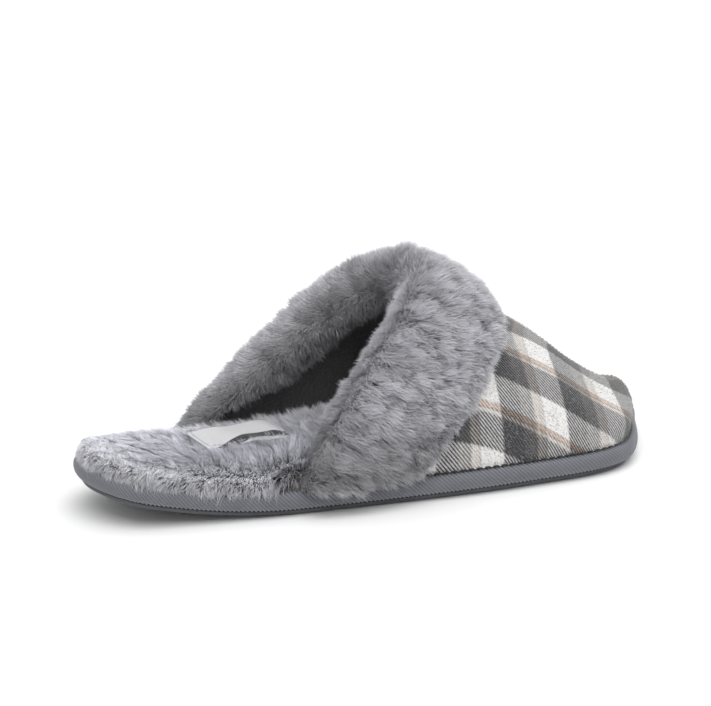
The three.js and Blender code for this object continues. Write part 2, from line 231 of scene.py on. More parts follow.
@dataclass
class Graph:
    """A node tree under construction."""

    tree: bpy.types.NodeTree

    def add(self, kind: str, settings: dict | None = None, inputs: dict | None = None,
            output: Union[str, int] = 0) -> Wire:
        """Adds one node.

        Args:
            kind: the node's type.
            settings: properties that are set first; "stops" holds a colour ramp's stops.
            inputs: values or wires by the socket's name or number.
            output: the output that is returned.

        Returns:
            The chosen output.
        """
        node = self.tree.nodes.new(kind)
        for name, value in (settings or {}).items():
            if name == "stops":
                self.set_stops(node.color_ramp, value)
            else:
                setattr(node, name, value)
        for key, value in (inputs or {}).items():
            if isinstance(value, Wire):
                self.tree.links.new(value.socket, node.inputs[key])
            else:
                node.inputs[key].default_value = value
        return Wire(self, node.outputs[output])

    @staticmethod
    def set_stops(ramp: bpy.types.ColorRamp, stops: Sequence[tuple[float, Colour]]) -> None:
        """Gives a colour ramp its stops.

        Args:
            ramp: the ramp.
            stops: place and colour of each stop.
        """
        while len(ramp.elements) < len(stops):
            ramp.elements.new(1.0)
        for element, (place, colour) in zip(ramp.elements, stops):
            element.position = place
            element.color = (*colour, 1.0)

    def mix(self, share: Operand, first: Any, second: Any) -> Wire:
        """Mixes two colours.

        Args:
            share: share of the second colour.
            first: colour or wire.
            second: colour or wire.

        Returns:
            The mixed colour.
        """
        colours = [c if isinstance(c, Wire) else (*c, 1.0) for c in (first, second)]
        inputs = {0: share, 6: colours[0], 7: colours[1]}
        return self.add("ShaderNodeMix", {"data_type": "RGBA"}, inputs, 2)

    def noise(self, place: Wire, scale: float, detail: float = 2.0, output: int = 0) -> Wire:
        """Noise at a place; output 0 is a number and 1 a colour."""
        inputs = {"Vector": place, "Scale": scale, "Detail": detail}
        return self.add("ShaderNodeTexNoise", {}, inputs, output)


class Dye(Graph):
    """A material under construction, with its shader."""

    def __init__(self, name: str, roughness: float, sheen: float = 0.0) -> None:
        """Starts a material.

        Args:
            name: the material's name.
            roughness: even roughness of the surface.
            sheen: weight of the sheen.
        """
        self.material = bpy.data.materials.new(name)
        self.material.use_nodes = True
        super().__init__(self.material.node_tree)
        self.shader = self.tree.nodes["Principled BSDF"]
        self.shader.inputs["Roughness"].default_value = roughness
        self.shader.inputs["Sheen Weight"].default_value = sheen
        self.shader.inputs["Sheen Roughness"].default_value = 0.5

    def feed(self, socket: str, wire: Wire) -> None:
        """Links a wire to one of the shader's sockets."""
        self.tree.links.new(wire.socket, self.shader.inputs[socket])

    def bump(self, height: Wire, depth: float, strength: float = 1.0) -> None:
        """Raises the surface by a height pattern, depth in metres."""
        inputs = {"Strength": strength, "Distance": depth, "Height": height}
        self.feed("Normal", self.add("ShaderNodeBump", {}, inputs))

    def place(self) -> Wire:
        """Place on the piece, in millimetres."""
        return self.add("ShaderNodeTexCoord", {}, {}, "Object") * (1 / MM)

    def mapped(self) -> Wire:
        """Place on the piece's own map."""
        return self.add("ShaderNodeUVMap", {"uv_map": PILE_MAP})


# ---------------------------------------------------------------- finishes


def scaled(colour: Colour, factor: float) -> Colour:
    """Colour made darker or paler, at most white."""
    return tuple(min(1.0, factor * part) for part in colour)


@dataclass(frozen=True)
class PileFinish:
    """Faux fur: dark at the root, pale at the tip, with a random tone for each lock and painted shade where
    the carriers mark it.
    """

    name: str
    root: Colour
    middle: Colour
    tip: Colour
    roughness: float = 0.62
    sheen: float = 0.25
    spread: float = 1.1

    def make(self) -> bpy.types.Material:
        """Makes the material; the map holds the lock's tone and painted shade across, and the height along.

        Returns:
            The material.
        """
        dye = Dye(self.name, self.roughness, self.sheen)
        shade, height = dye.mapped().part("X"), dye.mapped().part("Y")
        stops = [(0.0, self.root), (0.42, self.middle), (0.92, self.tip)]
        colour = dye.add("ShaderNodeValToRGB", {"stops": stops}, {0: height})
        # The shade scales the colour: a random tone for each lock, and painted shade where the carriers lower
        # it.
        dye.feed("Base Color", colour * (shade * self.spread + (1 - self.spread / 2)))
        dye.feed("Roughness", self.roughness + height * 0.12)
        return dye.material


@dataclass(frozen=True)
class BackingFinish:
    """Knitted backing under a pile: rows of small loops."""

    name: str
    colour: Colour
    loop: float = 0.9

    def make(self) -> bpy.types.Material:
        """Makes the material.

        Returns:
            The material.
        """
        dye = Dye(self.name, 0.9, 0.2)
        place = dye.place()
        turn = 2 * math.pi / self.loop
        rows = (place.part("X") * turn).call("SINE") * (place.part("Y") * turn).call("SINE")
        cloud = dye.noise(place, 0.12, 3.0)
        tint = dye.mix(cloud, scaled(self.colour, 0.7), scaled(self.colour, 1.25))
        dye.feed("Base Color", tint)
        dye.bump(rows * 0.5 + cloud, 0.0004)
        return dye.material


@dataclass(frozen=True)
class PlaidFinish:
    """Brushed twill check: bands across and along, crossed in a diagonal weave."""

    name: str = "plaid_flannel"
    white: Colour = (0.90, 0.89, 0.88)
    cream: Colour = (0.62, 0.56, 0.51)
    tan: Colour = (0.62, 0.41, 0.30)
    slate: Colour = (0.16, 0.15, 0.145)
    charcoal: Colour = (0.045, 0.046, 0.052)
    across_repeat: float = 29.7
    along_repeat: float = 30.0
    twill: float = 1.9
    map_scale: float = 300.0
    deepening: float = 0.42
    slate_across: tuple[float, float] = (9.2, 15.0)
    cream_across: tuple[float, float] = (15.0, 19.2)
    white_across: tuple[float, float] = (19.2, 29.4)
    white_along: tuple[float, float] = (0.3, 12.4)
    tan_along: tuple[float, float] = (12.7, 14.5)
    cream_along: tuple[float, float] = (15.1, 16.7)

    def across(self, dye: Dye, s: Wire) -> Wire:
        """Colour of the yarns that lie in bands across the foot.

        Args:
            dye: the material.
            s: place along the foot on the cloth.

        Returns:
            The colour.
        """
        place = s % self.across_repeat
        band = dye.mix(place.within(*self.slate_across, 1.3), self.charcoal, self.slate)
        band = dye.mix(place.within(*self.cream_across, 1.3), band, self.cream)
        return dye.mix(place.within(*self.white_across, 1.0), band, self.white)

    def along(self, dye: Dye, t: Wire) -> Wire:
        """Colour of the yarns that lie in bands along the foot.

        Args:
            dye: the material.
            t: place round the foot on the cloth.

        Returns:
            The colour.
        """
        place = t % self.along_repeat
        band = dye.mix(place.within(*self.white_along, 1.0), self.charcoal, self.white)
        band = dye.mix(place.within(*self.tan_along, 0.8), band, self.tan)
        return dye.mix(place.within(*self.cream_along, 0.8), band, self.cream)

    def make(self) -> bpy.types.Material:
        """Makes the material; the map holds the place on the flat cloth.

        Returns:
            The material.
        """
        dye = Dye(self.name, 0.88, 0.35)
        flat = dye.mapped() * self.map_scale
        fuzz = dye.noise(flat, 1.6, 3.0, 1) - (0.5, 0.5, 0.5)
        brushed = flat + fuzz * 1.9
        s, t = brushed.part("X"), brushed.part("Y")
        straight = flat + fuzz * 0.5
        slant = straight.part("X") - straight.part("Y")
        wale = (slant * (2 * math.pi / self.twill)).call("SINE")
        weave = wale.above(0.0, 0.7)
        across, along = self.across(dye, s), self.along(dye, t)
        colour = dye.mix(self.deepening, dye.mix(weave, across, along), across * along)
        nap = dye.noise(flat, 2.6, 3.0)
        dye.feed("Base Color", colour * (0.8 + nap * 0.4))
        dye.feed("Roughness", 0.8 + nap * 0.15)
        dye.bump(wale * 0.35 + nap * 1.4, 0.00035)
        return dye.material


@dataclass(frozen=True)
class TapeFinish:
    """Woven tape: fine yarns along the ribs, with painted shade in the grooves between the ribs and the
    crests left paler.
    """

    name: str = "wrap_tape"
    colour: Colour = (0.165, 0.172, 0.195)
    pitch: float = 0.42

    def make(self) -> bpy.types.Material:
        """Makes the material.

        Returns:
            The material.
        """
        dye = Dye(self.name, 0.72, 0.3)
        place = dye.place()
        yarn = (place.part("Z") * (2 * math.pi / self.pitch)).call("SINE")
        cloud = dye.noise(place, 0.09, 4.0)
        grain = dye.noise(place, 3.0, 2.0)
        groove = dye.add("ShaderNodeAttribute", {"attribute_name": "groove"}, {}, "Fac")
        tint = dye.mix(cloud * 0.6 + grain * 0.4, scaled(self.colour, 0.72), scaled(self.colour, 1.35))
        # Painted shade: darker down in the rib grooves, paler on the crests.
        dye.feed("Base Color", tint * (1.16 - groove * 0.6))
        dye.feed("Roughness", 0.62 + grain * 0.2)
        dye.bump(yarn * 0.3 + grain, 0.00012)
        return dye.material


@dataclass(frozen=True)
class RubberFinish:
    """Matt moulded rubber with a fine pebble and dusty scuffs."""

    name: str = "outsole_rubber"
    colour: Colour = (0.07, 0.073, 0.08)

    def make(self) -> bpy.types.Material:
        """Makes the material.

        Returns:
            The material.
        """
        dye = Dye(self.name, 0.78)
        place = dye.place()
        pebble = dye.add("ShaderNodeTexVoronoi", {}, {"Vector": place, "Scale": 1.4})
        scuff = dye.noise(place, 0.05, 5.0).above(0.55, 0.3)
        dye.feed("Base Color", dye.mix(scuff * 0.35, self.colour, scaled(self.colour, 2.4)))
        dye.feed("Roughness", 0.7 + scuff * 0.18)
        dye.bump(pebble, 0.0002)
        return dye.material


@dataclass(frozen=True)
class FoamFinish:
    """Foam: small cells in the surface and a slow change of tint."""

    name: str
    colour: Colour
    cell: float

    def make(self) -> bpy.types.Material:
        """Makes the material.

        Returns:
            The material.
        """
        dye = Dye(self.name, 0.92)
        place = dye.place()
        cells = dye.add("ShaderNodeTexVoronoi", {}, {"Vector": place, "Scale": 1 / self.cell})
        cloud = dye.noise(place, 0.06, 3.0)
        tint = dye.mix(cloud, scaled(self.colour, 0.8), scaled(self.colour, 1.1))
        dye.feed("Base Color", tint * (0.75 + cells * 0.5))
        dye.bump(cells, 0.0003)
        return dye.material


@dataclass(frozen=True)
class BoardFinish:
    """Pressed fibre board: flecks lying flat."""

    name: str = "board"
    colour: Colour = (0.42, 0.33, 0.22)

    def make(self) -> bpy.types.Material:
        """Makes the material.

        Returns:
            The material.
        """
        dye = Dye(self.name, 0.85)
        place = dye.place() * (0.3, 1.6, 1.0)
        fleck = dye.noise(place, 1.0, 5.0)
        dye.feed("Base Color", dye.mix(fleck, scaled(self.colour, 0.55), scaled(self.colour, 1.5)))
        dye.bump(fleck, 0.0002)
        return dye.material


@dataclass(frozen=True)
class FleeceFinish:
    """Short fleece or wadding: matted fibres in soft tufts."""

    name: str
    colour: Colour
    tuft: float = 1.4

    def make(self) -> bpy.types.Material:
        """Makes the material.

        Returns:
            The material.
        """
        dye = Dye(self.name, 0.95, 0.3)
        place = dye.place()
        tuft = dye.noise(place, 1 / self.tuft, 4.0)
        fibre = dye.noise(place * (1.0, 1.0, 0.35), 4.0, 3.0)
        mat = tuft * 0.65 + fibre * 0.35
        dye.feed("Base Color", dye.mix(mat, scaled(self.colour, 0.55), scaled(self.colour, 1.5)))
        dye.bump(mat, 0.0011)
        return dye.material


@dataclass(frozen=True)
class SatinFinish:
    """Woven satin label: fine ribs and one dark wave, with no lettering."""

    name: str = "label_satin"
    white: Colour = (0.60, 0.60, 0.62)
    dark: Colour = (0.012, 0.012, 0.014)
    length: float = 36.0
    wave_height: float = 5.0
    start: float = 8.6
    band: float = 4.4
    rib_pitch: float = 0.5

    def make(self) -> bpy.types.Material:
        """Makes the material; the map holds the place on the label.

        Returns:
            The material.
        """
        dye = Dye(self.name, 0.38, 0.2)
        flat = dye.mapped() * LABEL_MAP_SCALE
        s, t = flat.part("X"), flat.part("Y")
        crest = ((s / self.length + 0.3) * math.pi).call("SINE") * self.wave_height
        band = (t + crest).within(self.start, self.start + self.band, 0.25)
        rib = (s * (2 * math.pi / self.rib_pitch)).call("SINE")
        grain = dye.noise(flat, 2.0, 3.0)
        dye.feed("Base Color", dye.mix(band, self.white, self.dark) * (0.92 + grain * 0.14))
        dye.feed("Roughness", 0.32 + grain * 0.2)
        dye.bump(rib * 0.6 + grain, 0.00008)
        return dye.material


@dataclass(frozen=True)
class ThreadFinish:
    """Twisted thread."""

    name: str
    colour: Colour

    def make(self) -> bpy.types.Material:
        """Makes the material.

        Returns:
            The material.
        """
        dye = Dye(self.name, 0.55, 0.2)
        place = dye.place()
        ply = ((place.part("X") + place.part("Y") + place.part("Z")) * 9.0).call("SINE")
        tint = dye.mix(ply * 0.5 + 0.5, scaled(self.colour, 0.6), scaled(self.colour, 1.3))
        dye.feed("Base Color", tint)
        dye.bump(ply, 0.00008)
        return dye.material


# ---------------------------------------------------------------- pattern of the slipper


def smoothstep(x: Number, low: float, high: float) -> Number:
    """Smooth step from 0 at low to 1 at high."""
    t = np.clip((x - low) / (high - low), 0, 1)
    return t * t * (3 - 2 * t)


def hermite(stops: Sequence[tuple[float, float]], x: np.ndarray) -> np.ndarray:
    """Value at x on a smooth curve through stops in rising x.

    Args:
        stops: place and value of each stop.
        x: places.

    Returns:
        The values.
    """
    at, value = np.array(stops, float).T
    before, after = np.r_[0, np.arange(len(at) - 1)], np.r_[np.arange(1, len(at)), len(at) - 1]
    slope = (value[after] - value[before]) / (at[after] - at[before])
    i = np.clip(np.searchsorted(at, x, "left") - 1, 0, len(at) - 2)
    span = at[i + 1] - at[i]
    t = (x - at[i]) / span
    p, q, m, n = value[i], value[i + 1], slope[i] * span, slope[i + 1] * span
    inside = p + m * t + (3 * (q - p) - 2 * m - n) * t**2 + (2 * (p - q) + m + n) * t**3
    return np.where(t < 0, value[0] + (x - at[0]) * slope[0], inside)


def flowing(points: np.ndarray, count: int) -> np.ndarray:
    """Smooth line through a few points.

    Args:
        points: the points, along the last axis but one.
        count: number of points in the result.

    Returns:
        Points spread evenly in the curve's parameter.
    """
    last = points.shape[-2] - 1
    where = np.linspace(0, last, count)
    i = np.minimum(where.astype(int), last - 1)
    t = (where - i)[:, None]
    a, b = points[..., np.maximum(i - 1, 0), :], points[..., i, :]
    c, d = points[..., i + 1, :], points[..., np.minimum(i + 2, last), :]
    m, n = (c - a) / 2, (d - b) / 2
    return b + m * t + (3 * (c - b) - 2 * m - n) * t**2 + (2 * (b - c) + m + n) * t**3


@dataclass
class SolePlan:
    """Outline of the sole and the heights of its layers."""

    length: float = 255.0
    heel_width: float = 64.0
    waist_width: float = 76.0
    ball_width: float = 95.0
    toe_width: float = 77.0
    tip_offset: float = 9.0
    heel_lift: float = 12.0
    curl_length: float = 75.0
    curl_power: float = 1.8
    parallel_inset: float = 8.0
    clearance: float = 0.3
    outsole: float = 2.4
    outsole_inset: float = 3.2
    wrap: float = 1.0
    wrap_margin: float = 13.0
    wrap_lip: float = 6.5
    wrap_bulge: float = 2.6
    midsole: float = 6.0
    board: float = 1.2
    foam: float = 5.0

    def __post_init__(self) -> None:
        """Samples the outline and finds where the frame holds it."""
        self.midsole_base = self.outsole + self.clearance
        self.lip_base = self.midsole_base + self.midsole + self.clearance
        self.lip_top = self.lip_base + self.wrap
        self.seat = self.lip_base + self.board + self.clearance
        self.foam_top = self.seat + self.foam
        self.line, self.tangent, self.run = self.sampled()
        low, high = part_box("sole_wrap")
        middle = (self.line.min(0) + self.line.max(0)) / 2
        held = [(low.x + high.x) / 2 / MM, (low.y + high.y) / 2 / MM]
        self.shift = np.array([held[0] - middle[0], held[1] - middle[1], 0])

    def stops(self) -> np.ndarray:
        """Points of the outline, anticlockwise from the back of the heel.

        Returns:
            The points, one in each row.
        """
        heel, waist, ball, toe = self.heel_width, self.waist_width, self.ball_width, self.toe_width
        shares = [(0, 0), (0.035, -0.35 * heel), (0.13, -0.475 * heel), (0.39, -0.555 * waist),
                  (0.675, -0.518 * ball), (0.87, -0.57 * toe), (0.98, self.tip_offset - 0.17 * toe),
                  (1, self.tip_offset), (0.973, self.tip_offset + 0.22 * toe), (0.83, 0.43 * toe),
                  (0.627, 0.482 * ball), (0.39, 0.445 * waist), (0.13, 0.525 * heel), (0.035, 0.38 * heel)]
        return np.array(shares) * (self.length, 1)

    def sampled(self, steps: int = 200) -> tuple[np.ndarray, np.ndarray, np.ndarray]:
        """Samples the outline.

        Args:
            steps: samples between two stops.

        Returns:
            The points, the tangents and the share of the way round.
        """
        stops = self.stops()
        t = np.tile(np.arange(steps) / steps, len(stops))[:, None]
        a, b, c, d = (np.repeat(np.roll(stops, 1 - k, 0), steps, 0) for k in range(4))
        m, n = (c - a) / 2, (d - b) / 2
        line = b + m * t + (3 * (c - b) - 2 * m - n) * t**2 + (2 * (b - c) + m + n) * t**3
        line = np.vstack([line, line[:1]])
        tangent = np.gradient(np.vstack([line[-2:-1], line, line[1:2]]), axis=0)[1:-1]
        tangent /= np.linalg.norm(tangent, axis=1)[:, None]
        steps_run = np.r_[0, np.cumsum(np.linalg.norm(np.diff(line, axis=0), axis=1))]
        return line, tangent, steps_run / steps_run[-1]

    def edge(self, shares: np.ndarray, inset: Number) -> np.ndarray:
        """Points on the outline moved inwards.

        Args:
            shares: shares of the way round from the heel.
            inset: distances inwards.

        Returns:
            Points with two coordinates.
        """
        along = [np.interp(shares, self.run, axis) for axis in (*self.line.T, *self.tangent.T)]
        inset = np.broadcast_to(np.asarray(inset, float), shares.shape)
        parallel = np.minimum(inset, self.parallel_inset)
        rest = inset - parallel
        middle = self.length / 2
        x = middle + (along[0] - along[3] * parallel - middle) * (1 - rest / middle)
        y = (along[1] + along[2] * parallel) * (1 - 2 * rest / self.ball_width)
        return np.stack([x, y], 1)

    def lift(self, x: np.ndarray) -> np.ndarray:
        """Height of the floor line, which curls up at the heel."""
        return self.heel_lift * np.maximum(0, 1 - x / self.curl_length) ** self.curl_power

    def ring(self, inset: Profile, height: Profile, count: int) -> np.ndarray:
        """Ring round the sole.

        Args:
            inset: distance inwards, or a function of the edge's points.
            height: height over the floor line, or a function of the ring's points.
            count: number of points.

        Returns:
            The ring's points.
        """
        shares = (np.arange(count) + 0.5) / count
        edge = self.edge(shares, 0.0)
        flat = self.edge(shares, inset(edge) if callable(inset) else inset)
        level = height(flat) if callable(height) else height
        return np.column_stack([flat, level + self.lift(flat[:, 0])])

    def to_frame(self, points: np.ndarray) -> np.ndarray:
        """Pattern millimetres to the frame's metres."""
        return (points + self.shift) * MM


@dataclass
class FootbedPlan:
    """Outline and crown of the plush footbed."""

    sole: SolePlan
    inset_heel: float = 2.0
    inset_inside: float = 15.4
    narrowing: float = 17.0
    taper: float = 15.0
    start_lateral: float = 76.5
    start_medial: float = 48.5
    pile: float = 10.5
    pile_heel: float = 2.5
    pile_toe: float = 2.0
    instep: float = 147.0

    def inset(self, extra: Number) -> Callable[[np.ndarray], np.ndarray]:
        """Inset of the footbed plus some more, as a function of the edge's points.

        Args:
            extra: distance added to the inset.

        Returns:
            The function.
        """
        def at(edge: np.ndarray) -> np.ndarray:
            """Inset at each of the edge's points."""
            x = edge[:, 0]
            start = np.where(edge[:, 1] < 0, self.start_lateral, self.start_medial)
            inside = smoothstep(x - start, -self.taper, 0.0)
            front = smoothstep(x, 0.8 * self.sole.length, 0.96 * self.sole.length)
            wide = (self.inset_inside - self.inset_heel) * inside
            return self.inset_heel + wide + self.narrowing * front + extra
        return at

    def depth(self, x: np.ndarray) -> np.ndarray:
        """Depth of the whole pile over the foam.

        Args:
            x: places along the sole.

        Returns:
            The depths.
        """
        heel = 1 - smoothstep(x, 0, self.sole.curl_length)
        front = smoothstep(x, self.instep, 0.85 * self.sole.length)
        return self.pile - (self.pile - self.pile_heel) * heel - (self.pile - self.pile_toe) * front

    def top(self, share: Number, cut: float = 0.0) -> Callable[[np.ndarray], np.ndarray]:
        """Height at a share of the crown, with the pile cut down by a share.

        Args:
            share: share of the crown's height.
            cut: share of the pile that is left off.

        Returns:
            A function of a ring's points.
        """
        def at(points: np.ndarray) -> np.ndarray:
            """Height at each of the ring's points."""
            base = self.sole.foam_top + self.sole.clearance
            return base + self.depth(points[:, 0]) * share * (1 - cut)
        return at


@dataclass
class UpperPlan:
    """Face of the upper, its topline and the cuff folded over it."""

    sole: SolePlan
    inset: float = 3.5
    instep: float = 147.0
    instep_height: float = 70.0
    toe_height: float = 8.0
    toe_depth: float = 14.0
    ridge_shift: float = 4.0
    opening: tuple[float, float] = (84.0, 56.0)
    sweep: tuple[float, float] = (1.3, 1.1)
    layers: tuple[float, float, float] = (1.4, 3.3, 1.2)
    toe_skive: float = 0.65
    skive_length: float = 45.0
    cuff_top: float = 33.0
    cuff_foot: float = 38.0
    cuff_sweep: float = 0.75
    cuff: float = 11.0
    roll: float = 7.5
    loose: float = 0.6
    facing_depth: float = 15.0
    facing: float = 9.0
    facing_least: float = 0.08
    facing_cut: float = 0.4

    def __post_init__(self) -> None:
        """Splits the upper's foot into its two sides."""
        fine = 1440
        foot = self.sole.edge(np.arange(fine) / fine, self.inset)
        split = int(foot[:, 0].argmax())
        self.tip = float(foot[split, 0])
        self.lateral, self.medial = foot[: split + 1], foot[split:][::-1]

    def foot_y(self, x: np.ndarray) -> tuple[np.ndarray, np.ndarray]:
        """Y of the foot on the lateral and the medial side."""
        return tuple(np.interp(x, side[:, 0], side[:, 1]) for side in (self.lateral, self.medial))

    def ridge(self, x: np.ndarray) -> np.ndarray:
        """Height of the ridge over the seat.

        Args:
            x: places along the sole.

        Returns:
            The heights.
        """
        shares = [(0.24, 1.36), (0.4, 1.21), (self.instep / self.sole.length, 1.0),
                  (0.71, 0.72), (0.83, 0.405), (0.92, 0.165)]
        stops = [(a * self.sole.length, b * self.instep_height) for a, b in shares]
        full = hermite([*stops, (self.tip, self.toe_height)], x)
        depth = np.clip((x - self.tip + self.toe_depth) / self.toe_depth, 0, 1)
        return full * np.sqrt(1 - depth * depth)

    def point(self, x: np.ndarray, turn: np.ndarray) -> np.ndarray:
        """Point of the outer face at an angle: 0 is the lateral foot and pi the medial foot.

        Args:
            x: places along the sole.
            turn: angles round the upper.

        Returns:
            The points.
        """
        along = np.minimum(x, self.tip)
        lateral, medial = self.foot_y(along)
        half, rise = (medial - lateral) / 2, np.sin(turn)
        shift = self.ridge_shift * rise**2 * (2 * half / self.sole.ball_width)
        y = (lateral + medial) / 2 - half * np.cos(turn) + shift
        z = self.sole.seat + self.sole.lift(along) + self.ridge(along) * rise
        return np.stack([along, y, z], -1)

    def normal(self, x: np.ndarray, turn: np.ndarray) -> np.ndarray:
        """Outward direction of the face.

        Args:
            x: places along the sole.
            turn: angles round the upper.

        Returns:
            Directions of length one.
        """
        step, tilt = 0.25, 0.002
        inside = np.minimum(x, self.tip - step)
        along = self.point(inside + step, turn) - self.point(inside - step, turn)
        around = self.point(inside, turn + tilt) - self.point(inside, turn - tilt)
        across = -np.cross(around, along)
        across /= np.maximum(np.linalg.norm(across, axis=-1, keepdims=True), 1e-9)
        return np.where((x > self.tip - step)[..., None], np.array([1.0, 0, 0]), across)

    def offset(self, x: np.ndarray, turn: np.ndarray, distance: Number) -> np.ndarray:
        """Point at a distance outside the face."""
        return self.point(x, turn) + self.normal(x, turn) * np.asarray(distance)[..., None]

    def sided(self, turn: np.ndarray, pair: tuple[float, float]) -> np.ndarray:
        """Value of a pair for the side on which an angle lies."""
        return np.where(turn < math.pi / 2, *pair)

    def topline(self, turn: np.ndarray) -> np.ndarray:
        """Where the topline lies along the sole."""
        start = self.sided(turn, self.opening)
        return start + (self.instep - start) * np.abs(np.sin(turn)) ** self.sided(turn, self.sweep)

    def cuff_front(self, turn: np.ndarray) -> np.ndarray:
        """Where the cuff's turned-down edge lies along the sole."""
        start = self.sided(turn, self.opening) + self.cuff_foot
        return start + (self.instep + self.cuff_top - start) * np.abs(np.sin(turn)) ** self.cuff_sweep

    def depth(self, x: np.ndarray, outside: int) -> np.ndarray:
        """Depth under the outer face after some of the layers, which are pared at the toe."""
        thinned = 1 - self.toe_skive * smoothstep(x, self.tip - self.skive_length, self.tip)
        return thinned * sum(self.layers[:outside]) + max(outside - 1, 0) * self.sole.clearance

    def inside_share(self, turn: np.ndarray, footbed: FootbedPlan) -> np.ndarray:
        """How far the cuff's facing is grown at an angle: none beside the footbed's pile.

        Args:
            turn: angles round the upper.
            footbed: the footbed beside it.

        Returns:
            Shares from nearly 0 to 1.
        """
        top = self.topline(turn)
        height = self.ridge(top) * np.sin(turn)
        clear = footbed.depth(top) + footbed.sole.foam + footbed.sole.clearance
        return np.maximum(self.facing_least, smoothstep(height, clear, 2 * clear))

    def cuff_section(self, turn: np.ndarray, footbed: FootbedPlan,
                     fill: float) -> tuple[np.ndarray, np.ndarray]:
        """Section of the cuff at some angles, as places along the sole and distances outside.

        Args:
            turn: angles round the upper.
            footbed: the footbed that the facing stays clear of.
            fill: share of the cuff's thickness, 1 for the tips of its pile.

        Returns:
            Turned underside and face, each with [place, distance] pairs along its middle axis.
        """
        top = self.topline(turn)
        width = self.cuff_front(turn) - top
        inside = self.inside_share(turn, footbed)
        facing = self.facing_depth * inside * (1 - self.facing_cut * np.sin(turn) ** 2)
        depth = self.facing * inside * fill
        under = -(sum(self.layers) + 2 * self.sole.clearance) - self.loose + 0 * top
        thick, roll, gap = self.cuff * fill, self.roll * fill, self.sole.clearance
        flat = self.loose + 0 * top
        turned = [(top + 0.93 * width, flat), (top + 0.62 * width, flat), (top + 0.31 * width, flat),
                  (top - gap, flat), (top - gap, under), (top + 0.5 * facing, under), (top + facing, under)]
        face = [(top + facing, under - 0.2 * depth), (top + 0.95 * facing, under - 0.7 * depth),
                (top + 0.6 * facing, under - depth), (top - 0.3 * roll, under - depth),
                (top - roll, (under - depth + thick) * 0.45), (top - 0.7 * roll, 0.75 * thick + flat),
                (top + 0.15 * width, thick + flat), (top + 0.62 * width, 0.85 * thick + flat),
                (top + 0.95 * width, 0.4 * thick + flat), (top + width, 2 * flat)]
        return tuple(np.stack([np.stack(pair, -1) for pair in half], -2) for half in (turned, face))


# ---------------------------------------------------------------- meshes


def make_piece(name: str, points: np.ndarray, faces: Sequence[Sequence[int]],
               crease: float = 40.0) -> bpy.types.Object:
    """Makes a mesh object at the origin.

    Args:
        name: the piece's name.
        points: vertices in metres.
        faces: vertex numbers of each face.
        crease: angle in degrees past which an edge stays sharp.

    Returns:
        The linked object.
    """
    mesh = bpy.data.meshes.new(name)
    mesh.from_pydata(points.tolist(), [], [list(map(int, face)) for face in faces])
    mesh.polygons.foreach_set("use_smooth", np.ones(len(mesh.polygons), bool))
    mesh.set_sharp_from_angle(angle=math.radians(crease))
    mesh.update()
    piece = bpy.data.objects.new(name, mesh)
    bpy.context.scene.collection.objects.link(piece)
    return piece


def grid_faces(rows: int, columns: int, loop_rows: bool, loop_columns: bool) -> list[tuple[int, ...]]:
    """Quads of a grid of points numbered row by row.

    Args:
        rows: number of rows.
        columns: points in a row.
        loop_rows: joins the last row to the first.
        loop_columns: joins each row's end to its start.

    Returns:
        Vertex numbers of each face.
    """
    faces = []
    for r in range(rows if loop_rows else rows - 1):
        low, high = r * columns, (r + 1) % rows * columns
        for i in range(columns if loop_columns else columns - 1):
            j = (i + 1) % columns
            faces.append((low + i, low + j, high + j, high + i))
    return faces


def cap_faces(start: int, count: int, flip: bool) -> list[tuple[int, ...]]:
    """Quads that close one ring, as a strip between opposite points.

    Args:
        start: number of the ring's first point.
        count: points in the ring.
        flip: turns the faces over.

    Returns:
        Vertex numbers of each face.
    """
    faces = []
    for i in range(count // 2 - 1):
        face = (start + i, start + i + 1, start + count - 2 - i, start + count - 1 - i)
        faces.append(face[::-1] if flip else face)
    return faces


def loft(name: str, rings: np.ndarray, loop: bool = False, crease: float = 40.0) -> bpy.types.Object:
    """Closed body through rings of points.

    Args:
        name: the piece's name.
        rings: points in metres, ring by ring.
        loop: joins the last ring to the first instead of capping both.
        crease: angle in degrees past which an edge stays sharp.

    Returns:
        The piece.
    """
    rows, count = rings.shape[:2]
    faces = grid_faces(rows, count, loop, True)
    if not loop:
        faces += cap_faces(0, count, True) + cap_faces((rows - 1) * count, count, False)
    return make_piece(name, rings.reshape(-1, 3), faces, crease)


def lay_map(piece: bpy.types.Object, places: np.ndarray) -> None:
    """Gives a piece its own map from one place for each vertex.

    Args:
        piece: the piece.
        places: place on the map of each vertex.
    """
    layer = piece.data.uv_layers.new(name=PILE_MAP)
    loops = np.empty(len(piece.data.loops), np.int32)
    piece.data.loops.foreach_get("vertex_index", loops)
    layer.data.foreach_set("uv", places[loops].astype(np.float32).ravel())


def ripple(place: np.ndarray, seed: float) -> np.ndarray:
    """Smooth uneven wave between -1 and 1 along a length in millimetres."""
    waves = [(0.71, 1.0), (1.13, 0.8), (0.37, 0.7), (1.9, 0.35)]
    return sum(w * np.sin(f * place + seed * (k + 1)) for k, (f, w) in enumerate(waves)) / 2.85


def dress(piece: bpy.types.Object, material: bpy.types.Material, slot: str, *nodes: str) -> bpy.types.Object:
    """Gives a piece its material and its body, and hides the nodes that it replaces.

    Args:
        piece: the piece.
        material: its material.
        slot: not used.
        *nodes: the nodes that it replaces.

    Returns:
        The same piece.
    """
    piece.data.materials.clear()
    piece.data.materials.append(material)
    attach(piece, BODY)
    if nodes:
        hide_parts(*nodes)
    LOG.info("%s: %d faces", piece.name, len(piece.data.polygons))
    return piece


